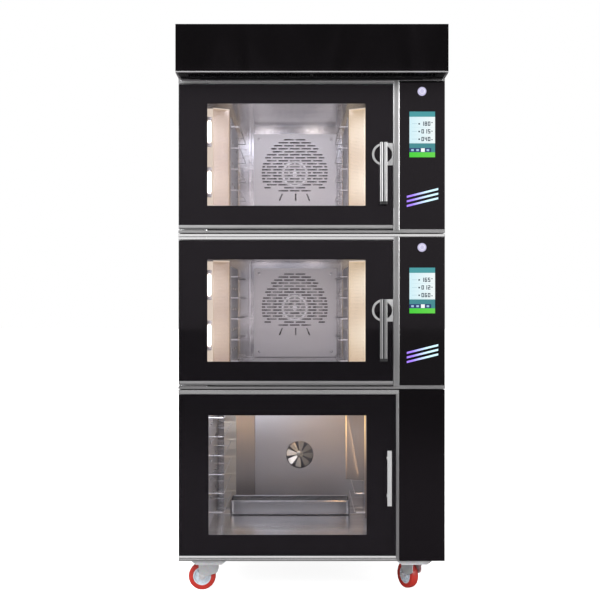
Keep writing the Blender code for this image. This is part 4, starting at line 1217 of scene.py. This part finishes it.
def prover_grip():
    """Flat door bar with rounded edges on two turned stand-offs."""
    low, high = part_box("prover_door_handle")
    middle = (low.x + high.x) / 2
    bar = prism(rounded(low.x, low.y, high.x, low.y + 0.008, 0.0024, 4), low.z, high.z)
    posts = []
    for z in (0.360, 0.495):
        posts.append(turned(
            [(0.0, 0.0), (0.0085, 0.0), (0.0085, 0.0025), (0.0062, 0.0040), (0.0052, 0.0060),
             (0.0052, 0.0230),
             (0.0070, 0.0255), (0.0070, 0.0285), (0.0, 0.0285)], (middle, FRONT, z), "-Y", 28,
        ))
    piece = add("prover_door_bar", merge(bar, *posts), SATIN, "prover_door", bevel=0.0006)
    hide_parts("prover_door_handle")


WARM_STEEL = steel("warm_bright_steel", 0.66, 0.44, lines=0.2, warm=0.12)
BACK_SHEET = steel("prover_back_steel", 0.62, 0.42, lines=0.15, waves=0.03)
CORNER_SHEET = steel("prover_corner_steel", 0.42, 0.36, upright=True, lines=0.2)
PANE_WATER = thin_glass("water_surface", (0.90, 0.94, 0.95))

paint("prover_casing", BRUSHED)
paint("prover_chamber", LINER)
paint("prover_side_panel", ENAMEL)
frame_steel("prover")
door_panes("prover")
tray_rack("prover", 6)
hinge("prover")
prover_fan()
prover_back()
prover_lamp()
prover_tray()
prover_grip()
rail_cover("prover_rail_trim", -HALF + 0.0005, 0.3140, 0.7262, 0.7408)
rail_cover("prover_sill_trim", -HALF + 0.0005, 0.3140, 0.1272, 0.1336, 0.0010)
post_cover("prover_post_trim", 0.3046, 0.3144, 0.1305, 0.7256)

# Hood


def hood_filter():
    """Steam filter, black as painted shade under the hood: frame, two rows of slanted slats and a pull ring
    at each end.
    """
    low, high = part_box("hood_filter")
    shapes = [sheet(
        rounded(low.x, low.y, high.x, high.y, 0.004),
        [rounded(low.x + 0.010, low.y + 0.008, -0.006, high.y - 0.008, 0.003),
         rounded(0.006, low.y + 0.008, high.x - 0.010, high.y - 0.008, 0.003)],
        (low.z + high.z) / 2, high.z - low.z, "flat",
    )]
    count = 56
    for slat in range(count):
        x = low.x + 0.018 + (high.x - low.x - 0.036) * slat / (count - 1)
        if abs(x) < 0.008:
            continue
        vane = blocks(((-0.0004, low.y + 0.0075, -0.0062), (0.0004, high.y - 0.0075, 0.0062)))
        lean = Matrix.Translation((x, 0, (low.z + high.z) / 2)) @ Matrix.Rotation(math.radians(38), 4, "Y")
        shapes.append(shifted(vane, lean))
    for x in (low.x + 0.060, high.x - 0.060):
        ring = [(x + 0.012 * math.cos(a), low.y + 0.016 + 0.006 * math.sin(a), low.z - 0.0008)
                for a in [2 * math.pi * step / 20 for step in range(20)]]
        shapes.append(wire(ring, 0.0012, closed=True))
    piece = add("hood_steam_filter", merge(*shapes), HOOD_SHADE_BLACK, "hood_filter_body")
    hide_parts("hood_filter")


def hood_soffit():
    """Black lining of the hood's underside and the strip over the upper oven, both painted shade, and a
    bracket in each corner.
    """
    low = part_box("hood_shell")[0]
    filter_low, filter_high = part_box("hood_filter")
    under = low.z + HOOD_LIP - 0.0004
    lining = sheet(
        rectangle(-0.4715, -0.4775, 0.4715, FRONT - 0.0050),
        [rectangle(filter_low.x - 0.0005, filter_low.y - 0.0005, filter_high.x + 0.0005,
                   filter_high.y + 0.0005)],
        under, 0.0006, "flat",
    )
    strip = prism(
        [(FRONT - 0.0042, low.z - 0.0003), (FRONT - 0.0052, low.z - 0.0003), (FRONT - 0.0058, under),
         (FRONT - 0.0042, under)], -0.4712, 0.4712, "X",
    )
    add("hood_soffit", merge(lining, strip), HOOD_SHADE_BLACK, "cabinet")
    brackets = []
    for side in (-1, 1):
        edge = side * HALF
        brackets.append(blocks((
            (min(edge, edge - side * 0.0075), -0.4770, under - 0.0016),
            (max(edge, edge - side * 0.0075), FRONT - 0.0060, under - 0.0004),
        )))
        brackets.append(prism(
            [(edge - side * 0.0080, FRONT - 0.0068), (edge - side * 0.0560, FRONT - 0.0068),
             (edge - side * 0.0800, FRONT - 0.0055), (edge - side * 0.0080, FRONT - 0.0055)],
            under - 0.0080, under - 0.0050,
        ))
    add("hood_end_brackets", merge(*brackets), RAIL_STEEL, "cabinet", bevel=0.0004)


def duct_collar():
    """Duct collar with a rolled bead, a stiff rim and a screwed flange."""
    low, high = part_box("exhaust_spigot")
    centre = Vector(((low.x + high.x) / 2, (low.y + high.y) / 2, 0))
    bottom, top = low.z, high.z
    profile = [
        (0.0720, bottom), (0.0950, bottom), (0.0950, bottom + 0.0018), (0.0770, bottom + 0.0024),
        (0.0752, bottom + 0.0045), (0.0750, bottom + 0.0290), (0.0765, bottom + 0.0305),
        (0.0770, bottom + 0.0325),
        (0.0765, bottom + 0.0345), (0.0750, bottom + 0.0360), (0.0750, top), (0.0720, top),
    ]
    piece = add("exhaust_collar", turned(profile, centre, segments=64, closed=True), BRUSHED, "cabinet")
    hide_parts("exhaust_spigot")
    spots = [
        (centre.x + 0.0865 * math.cos(a), centre.y + 0.0865 * math.sin(a), bottom + 0.0019)
        for a in [2 * math.pi * (step + 0.5) / 8 for step in range(8)]
    ]
    add("exhaust_collar_screws", screws(spots, "Z", 0.0032), TURNED, "cabinet")


paint("hood_shell", BRUSHED)
paint("hood_fascia", ENAMEL)
paint("hood_fan_wheel", BRIGHT)
hood_filter()
hood_soffit()
duct_collar()

# Castors


def castor_fork(corner):
    """Pressed fork with round cheek ends, its ball race, kingpin nut, axle bolt, and the bolted top plate."""
    pin = Vector(JOINTS[f"swivel_{corner}"]["pos_m"])
    axle = Vector(JOINTS[f"roll_{corner}"]["pos_m"])
    trail = (axle - pin).xy.length
    way = math.atan2(axle.y - pin.y, axle.x - pin.x)
    cheek = [(-0.0300, 0.1080), (-0.0290, 0.0700), (-0.0220, 0.0625)]
    cheek += arc((trail, axle.z), 0.0105, 180, 350, 14)
    cheek += [(0.0400, 0.0700), (0.0420, 0.0800), (0.0420, 0.1080)]
    shapes = [
        prism(cheek, 0.0182, 0.0208, "Y"),
        prism(cheek, -0.0208, -0.0182, "Y"),
        prism(rounded(-0.0300, -0.0208, 0.0440, 0.0208, 0.0050), 0.1052, 0.1082),
        turned([(0.0, 0.1080), (0.0300, 0.1080), (0.0312, 0.1096), (0.0290, 0.1116), (0.0276, 0.1128),
                (0.0290, 0.1142), (0.0322, 0.1160), (0.0318, 0.1185), (0.0260, 0.1204), (0.0, 0.1204)],
               segments=40),
        turned([(0.0, 0.0990), (0.0080, 0.0990), (0.0092, 0.1000), (0.0092, 0.1052), (0.0, 0.1052)],
               segments=6),
    ]
    for side in ("Y", "-Y"):
        shapes.append(turned(
            [(0.0, 0.0), (0.0110, 0.0), (0.0110, 0.0012), (0.0, 0.0012)],
            (trail, 0.0208 if side == "Y" else -0.0208, axle.z), side, 28,
        ))
        shapes.append(turned(
            [(0.0, 0.0012), (0.0084, 0.0012), (0.0086, 0.0046), (0.0078, 0.0056), (0.0, 0.0058)],
            (trail, 0.0208 if side == "Y" else -0.0208, axle.z), side, 6,
        ))
    shapes.append(turned([(0.0, -0.0205), (0.0050, -0.0205), (0.0050, 0.0205), (0.0, 0.0205)],
                         (trail, 0, axle.z), "Y", 20))
    turn = Matrix.Translation((pin.x, pin.y, 0)) @ Matrix.Rotation(way, 4, "Z")
    piece = add(f"castor_fork_press_{corner}", shifted(merge(*shapes), turn), ZINC, f"castor_{corner}",
                bevel=0.0006)
    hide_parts(f"castor_fork_{corner}")
    outward = math.copysign(1.0, pin.y - 0.05)
    front, back = sorted((pin.y + outward * 0.0880, pin.y - outward * 0.0425))
    plate = sheet(rounded(pin.x - 0.0620, front, pin.x + 0.0620, back, 0.004),
                  [circle((pin.x, pin.y), 0.0085, 20)], 0.1208, 0.0018, "flat")
    heads = [
        turned([(0.0, 0.0), (0.0090, 0.0), (0.0090, 0.0012), (0.0066, 0.0012), (0.0066, 0.0052),
                (0.0058, 0.0060), (0.0, 0.0060)], (pin.x + x, pin.y + y, 0.1199), "-Z", 6)
        for x in (-0.0385, 0.0385) for y in (-0.0325, 0.0325)
    ]
    lip = sorted((pin.y + outward * 0.0880, pin.y + outward * 0.0862))
    skirt = prism([(pin.x - 0.0620, 0.1199), (pin.x + 0.0620, 0.1199), (pin.x + 0.0460, 0.1080),
                   (pin.x - 0.0460, 0.1080)], *lip, "Y")
    add(f"castor_plate_{corner}", merge(plate, skirt, *heads), ZINC, "cabinet", bevel=0.0004)


def castor_wheel(corner):
    """Red tread around a pale nylon centre with ribs, and a zinc cap on each side of the bearing."""
    pin = Vector(JOINTS[f"swivel_{corner}"]["pos_m"])
    axle = Vector(JOINTS[f"roll_{corner}"]["pos_m"])
    way = math.atan2(axle.y - pin.y, axle.x - pin.x)
    stand = Matrix.Translation(axle) @ Matrix.Rotation(way, 4, "Z") @ Matrix.Rotation(-math.pi / 2, 4, "X")
    body = f"wheel_{corner}"
    tread = turned(
        [(0.0330, -0.0122), (0.0345, -0.0142), (0.0440, -0.0152), (0.0472, -0.0142), (0.0491, -0.0112),
         (0.0499, -0.0060), (0.0500, 0.0), (0.0499, 0.0060), (0.0491, 0.0112), (0.0472, 0.0142),
         (0.0440, 0.0152), (0.0345, 0.0142), (0.0330, 0.0122)],
        segments=72, closed=True,
    )
    piece = add(f"castor_tread_{corner}", shifted(tread, stand), TREAD, body)
    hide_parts(f"castor_wheel_{corner}")
    centre = [turned(
        [(0.0056, -0.0150), (0.0135, -0.0150), (0.0148, -0.0138), (0.0155, -0.0060), (0.0180, -0.0048),
         (0.0270, -0.0048), (0.0290, -0.0062), (0.0298, -0.0120), (0.0328, -0.0124), (0.0334, -0.0115),
         (0.0334, 0.0115), (0.0328, 0.0124), (0.0298, 0.0120), (0.0290, 0.0062), (0.0270, 0.0048),
         (0.0180, 0.0048), (0.0155, 0.0060), (0.0148, 0.0138), (0.0135, 0.0150), (0.0056, 0.0150)],
        segments=56, closed=True,
    )]
    for rib in range(8):
        turn = Matrix.Rotation(2 * math.pi * rib / 8, 4, "Z")
        centre.append(shifted(blocks(((0.0140, -0.0011, -0.0092), (0.0300, 0.0011, 0.0092))), turn))
    add(f"castor_centre_{corner}", shifted(merge(*centre), stand), NYLON, body, bevel=0.0005)
    caps = merge(*(
        turned([(0.0056, 0.0146), (0.0110, 0.0146), (0.0118, 0.0152), (0.0108, 0.0162), (0.0056, 0.0164)],
               axis=side, segments=32, closed=True)
        for side in ("Z", "-Z")
    ))
    add(f"castor_cap_{corner}", shifted(caps, stand), ZINC, body)


for corner in ("front_left", "front_right", "rear_left", "rear_right"):
    castor_fork(corner)
    castor_wheel(corner)

# Service panels on the sides, the back and the top


def on_side(sign):
    """Stands a drawing (across, up, out) on the left or right side; across runs towards the back."""
    return Matrix.Translation((sign * HALF, 0, 0)) @ Matrix(
        ((0, 0, sign, 0), (1, 0, 0, 0), (0, 1, 0, 0), (0, 0, 0, 1))
    )


ON_BACK = Matrix.Translation((0, BACK, 0)) @ FACES["front"]
ON_TOP = Matrix.Translation((0, 0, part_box("hood_shell")[1].z))


def panel(name, stand, left, low, right, high, louvres=(), material=None):
    """Screwed service panel: a sheet with round corners, pressed louvres and screws around its edge."""
    plate = sheet(rounded(left, low, right, high, 0.006), [], 0.0004, 0.0014, "flat")
    shapes = [plate]
    for across, up, width, rows in louvres:
        for row in range(rows):
            z = up + row * 0.013
            shapes.append(shifted(
                prism([(0.0008, z + 0.0080), (0.0008, z), (0.0026, z + 0.0006), (0.0031, z + 0.0020),
                       (0.0026, z + 0.0052)], across, across + width, "X"),
                FACES["front"],
            ))
    add(name, shifted(merge(*shapes), stand), material or SIDE_SHEET, "cabinet", bevel=0.0003)
    count_across = max(2, round((right - left) / 0.22) + 1)
    count_up = max(2, round((high - low) / 0.22) + 1)
    spots = []
    for step in range(count_across):
        x = left + 0.012 + (right - left - 0.024) * step / (count_across - 1)
        spots += [(x, low + 0.012, 0.0011), (x, high - 0.012, 0.0011)]
    for step in range(1, count_up - 1):
        z = low + 0.012 + (high - low - 0.024) * step / (count_up - 1)
        spots += [(left + 0.012, z, 0.0011), (right - 0.012, z, 0.0011)]
    add(f"{name}_screws", shifted(screws(spots, "Z", 0.0034), stand), TURNED, "cabinet")


def service_panels():
    for tier in ("upper", "lower", "prover"):
        low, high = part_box(f"{tier}_casing")
        base, top = low.z, high.z
        for side, sign in (("left", -1), ("right", 1)):
            vents = [(0.330, base + 0.050, 0.110, 9)] if tier != "prover" else [(0.330, base + 0.060,
                                                                                 0.110, 5)]
            if side == "right" and tier != "prover":
                vents.append((-0.270, base + 0.400, 0.120, 8))
                vents.append((-0.270, base + 0.050, 0.120, 5))
            panel(f"{tier}_side_sheet_{side}", on_side(sign), -0.310, base + 0.012, 0.472, top - 0.012,
                  vents)
        vents = [
            (-0.300, base + 0.060, 0.160, 10), (0.140, base + 0.060, 0.160, 10),
            (-0.090, top - 0.130, 0.180, 7),
        ]
        if tier == "prover":
            vents = [(-0.080, base + 0.300, 0.160, 8)]
        panel(f"{tier}_back_sheet", ON_BACK, -0.445, base + 0.020, 0.445, top - 0.020, vents)
    low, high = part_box("hood_shell")
    for side, sign in (("left", -1), ("right", 1)):
        panel(f"hood_side_sheet_{side}", on_side(sign), -0.440, low.z + 0.026, 0.472, high.z - 0.012)
    panel("hood_back_sheet", ON_BACK, -0.445, low.z + 0.028, 0.445, high.z - 0.014)
    panel("hood_top_sheet_front", ON_TOP, -0.465, -0.462, 0.465, 0.120)
    panel("hood_top_sheet_rear_left", ON_TOP, -0.465, 0.128, -0.120, 0.475)
    panel("hood_top_sheet_rear_right", ON_TOP, 0.120, 0.128, 0.465, 0.475)
    gland = merge(
        turned([(0.0, 0.0), (0.0130, 0.0), (0.0130, 0.0045), (0.0, 0.0045)],
               (0.330, 0.330, high.z + 0.001), "Z", 6),
        turned([(0.0, 0.0045), (0.0105, 0.0045), (0.0110, 0.0120), (0.0085, 0.0175), (0.0048, 0.0200),
                (0.0, 0.0200)], (0.330, 0.330, high.z + 0.001), "Z", 24),
    )
    add("mains_gland", gland, BAND, "cabinet", bevel=0.0004)
    lead = wire([(0.330, 0.330, high.z + 0.015), (0.330, 0.331, high.z + 0.034),
                 (0.331, 0.340, high.z + 0.043),
                 (0.333, 0.356, high.z + 0.046), (0.338, 0.420, high.z + 0.046),
                 (0.340, 0.460, high.z + 0.045),
                 (0.340, 0.474, high.z + 0.040), (0.340, 0.480, high.z + 0.028)], 0.0045, sides=5)
    add("mains_lead", lead, BAND, "cabinet")
    inlets = []
    for x in (-0.300, -0.240):
        inlets.append(turned(
            [(0.0060, 0.0), (0.0150, 0.0), (0.0150, 0.0030), (0.0105, 0.0040), (0.0105, 0.0080),
             (0.0115, 0.0090),
             (0.0105, 0.0100), (0.0115, 0.0110), (0.0105, 0.0120), (0.0115, 0.0130), (0.0105, 0.0160),
             (0.0060, 0.0160)], (x, 0.455, 0.1250), "-Z", 28, closed=True,
        ))
    add("water_inlets", merge(*inlets), TURNED, "cabinet")


service_panels()


# Studio


def studio_world():
    """White behind the object; in reflections, a dim room with a bright ceiling and brighter sides."""
    world = bpy.data.worlds.new("studio")
    bpy.context.scene.world = world
    world.use_nodes = True
    nodes, links = world.node_tree.nodes, world.node_tree.links
    nodes.clear()
    path = nodes.new("ShaderNodeLightPath")
    direction = nodes.new("ShaderNodeTexCoord")
    split = nodes.new("ShaderNodeSeparateXYZ")
    links.new(direction.outputs["Generated"], split.inputs[0])
    height = nodes.new("ShaderNodeMapRange")
    height.inputs["From Min"].default_value = -1.0
    links.new(split.outputs["Z"], height.inputs["Value"])
    ramp = nodes.new("ShaderNodeValToRGB")
    links.new(height.outputs[0], ramp.inputs[0])
    stops = [
        (-1.0, 0.26), (-0.30, 0.15), (-0.12, 0.20), (0.0, 0.33), (0.13, 0.42), (0.168, 0.38),
        (0.182, 0.090),
        (0.2127, 0.10), (0.2225, 0.10), (0.228, 0.07), (0.25, 0.60), (0.30, 1.0), (0.60, 1.0), (1.0, 0.80),
    ]
    while len(ramp.color_ramp.elements) < len(stops):
        ramp.color_ramp.elements.new(0.5)
    for element, (level, tone) in zip(ramp.color_ramp.elements, stops):
        element.position = (level + 1) / 2
        element.color = rgb(tone, tone * 0.99, tone * 0.985)
    sideways = nodes.new("ShaderNodeMath")
    sideways.operation = "ABSOLUTE"
    links.new(split.outputs["X"], sideways.inputs[0])
    aside = nodes.new("ShaderNodeMapRange")
    aside.inputs["From Min"].default_value = 0.25
    aside.inputs["From Max"].default_value = 0.75
    links.new(sideways.outputs[0], aside.inputs["Value"])
    tone = nodes.new("ShaderNodeMix")
    tone.data_type = "RGBA"
    links.new(aside.outputs[0], tone.inputs[0])
    links.new(ramp.outputs[0], tone.inputs[6])
    tone.inputs[7].default_value = rgb(0.80, 0.80, 0.79)
    room = nodes.new("ShaderNodeBackground")
    links.new(tone.outputs[2], room.inputs["Color"])
    backdrop = nodes.new("ShaderNodeBackground")
    backdrop.inputs["Color"].default_value = rgb(1, 1, 1)
    mix = nodes.new("ShaderNodeMixShader")
    links.new(path.outputs["Is Camera Ray"], mix.inputs[0])
    links.new(room.outputs[0], mix.inputs[1])
    links.new(backdrop.outputs[0], mix.inputs[2])
    output = nodes.new("ShaderNodeOutputWorld")
    links.new(mix.outputs[0], output.inputs["Surface"])


def area_light(name, place, target, size, power, colour=(1, 1, 1)):
    data = bpy.data.lights.new(name, "AREA")
    data.shape = "RECTANGLE"
    data.size, data.size_y = size
    data.energy = power
    data.color = colour
    light = bpy.data.objects.new(name, data)
    light.location = place
    light.rotation_mode = "QUATERNION"
    light.rotation_quaternion = (Vector(target) - Vector(place)).to_track_quat("-Z", "Y")
    bpy.context.scene.collection.objects.link(light)
    return light


def floor():
    """Pale floor that stays white except where the castors shade it."""
    bm = bmesh.new()
    bmesh.ops.create_grid(bm, x_segments=2, y_segments=2, size=40.0)
    mesh = bpy.data.meshes.new("studio_floor")
    bm.to_mesh(mesh)
    bm.free()
    s = Shader("floor_paint")
    path = s.node("LightPath")
    speckle = s.noise(s.place, 30.0, 4.0)
    tone = s.blend(speckle, rgb(0.80, 0.80, 0.80), rgb(0.84, 0.84, 0.84))
    plain = s.node("BsdfDiffuse", Color=s.blend(path.outputs["Is Glossy Ray"], tone,
                                                rgb(0.13, 0.125, 0.13)))
    light = s.node("Emission", Color=rgb(1, 1, 1))
    s.plug(light.inputs["Strength"], s.math("MULTIPLY", path.outputs["Is Camera Ray"], 0.90))
    both = s.node("AddShader")
    s.plug(both.inputs[0], plain.outputs[0])
    s.plug(both.inputs[1], light.outputs[0])
    mesh.materials.append(s.finish(both.outputs[0]))
    ground = bpy.data.objects.new("studio_floor", mesh)
    bpy.context.scene.collection.objects.link(ground)


def chamber_lights():
    """Light from the lamps' corners and from under each ceiling."""
    for tier in TIERS:
        low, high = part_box(f"{tier}_chamber")
        middle = (low.z + high.z) / 2
        centre = (low.x + high.x) / 2
        side_power, top_power = {"upper": (0.25, 0.36), "lower": (0.22, 0.07)}[tier]
        for side, colour in ((-1, (1.0, 0.93, 0.87)), (1, (1.0, 0.91, 0.80))):
            area_light(
                f"{tier}_glow_{'left' if side < 0 else 'right'}", (centre + side * 0.115, -0.262, middle),
                (centre - side * 0.05, 0.33, middle - 0.06), (0.05, 0.30), side_power, colour,
            )
        area_light(
            f"{tier}_glow_top", (centre, -0.255, high.z - 0.040), (centre, 0.33, middle - 0.14),
            (0.42, 0.04),
            top_power, (0.95, 0.96, 1.0),
        )
        fan = JOINTS[f"{tier}_fan_spin"]["pos_m"]
        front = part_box(f"{tier}_fan_baffle")[0].y
        area_light(f"{tier}_glow_fan", (fan[0], front + 0.005, fan[2]), (fan[0], 0.4, fan[2]), (0.20, 0.20),
                   0.08, (0.98, 0.97, 0.98))
    low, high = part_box("prover_chamber")
    centre = (low.x + high.x) / 2
    area_light("prover_glow_top", (centre - 0.15, -0.20, high.z - 0.050), (centre - 0.12, 0.33, 0.42),
               (0.36, 0.06),
               1.00, (0.96, 0.95, 1.0))
    area_light("prover_glow_lamp", (0.16, -0.255, 0.52), (-0.36, 0.02, 0.40), (0.03, 0.20), 0.50,
               (1.0, 0.64, 0.34))


def camera():
    """Level, in front of the doors, 4.4 m from their glass."""
    data = bpy.data.cameras.new("camera")
    data.lens = 73.33
    data.sensor_width = 36.0
    eye = bpy.data.objects.new("camera", data)
    eye.location = (-0.042, FRONT - 4.4, 1.065)
    eye.rotation_euler = (math.pi / 2, 0, 0)
    bpy.context.scene.collection.objects.link(eye)
    bpy.context.scene.camera = eye


studio_world()
floor()
chamber_lights()
area_light("key_softbox", (-3.2, -3.4, 3.2), (0, 0, 1.1), (2.2, 2.6), 190.0)
area_light("fill_softbox", (3.6, -3.0, 2.4), (0, 0, 1.0), (1.8, 2.6), 120.0)
area_light("top_softbox", (0.0, 0.3, 5.0), (0, 0, 0), (4.0, 4.0), 160.0)
camera()
bpy.context.scene.view_settings.view_transform = "Standard"
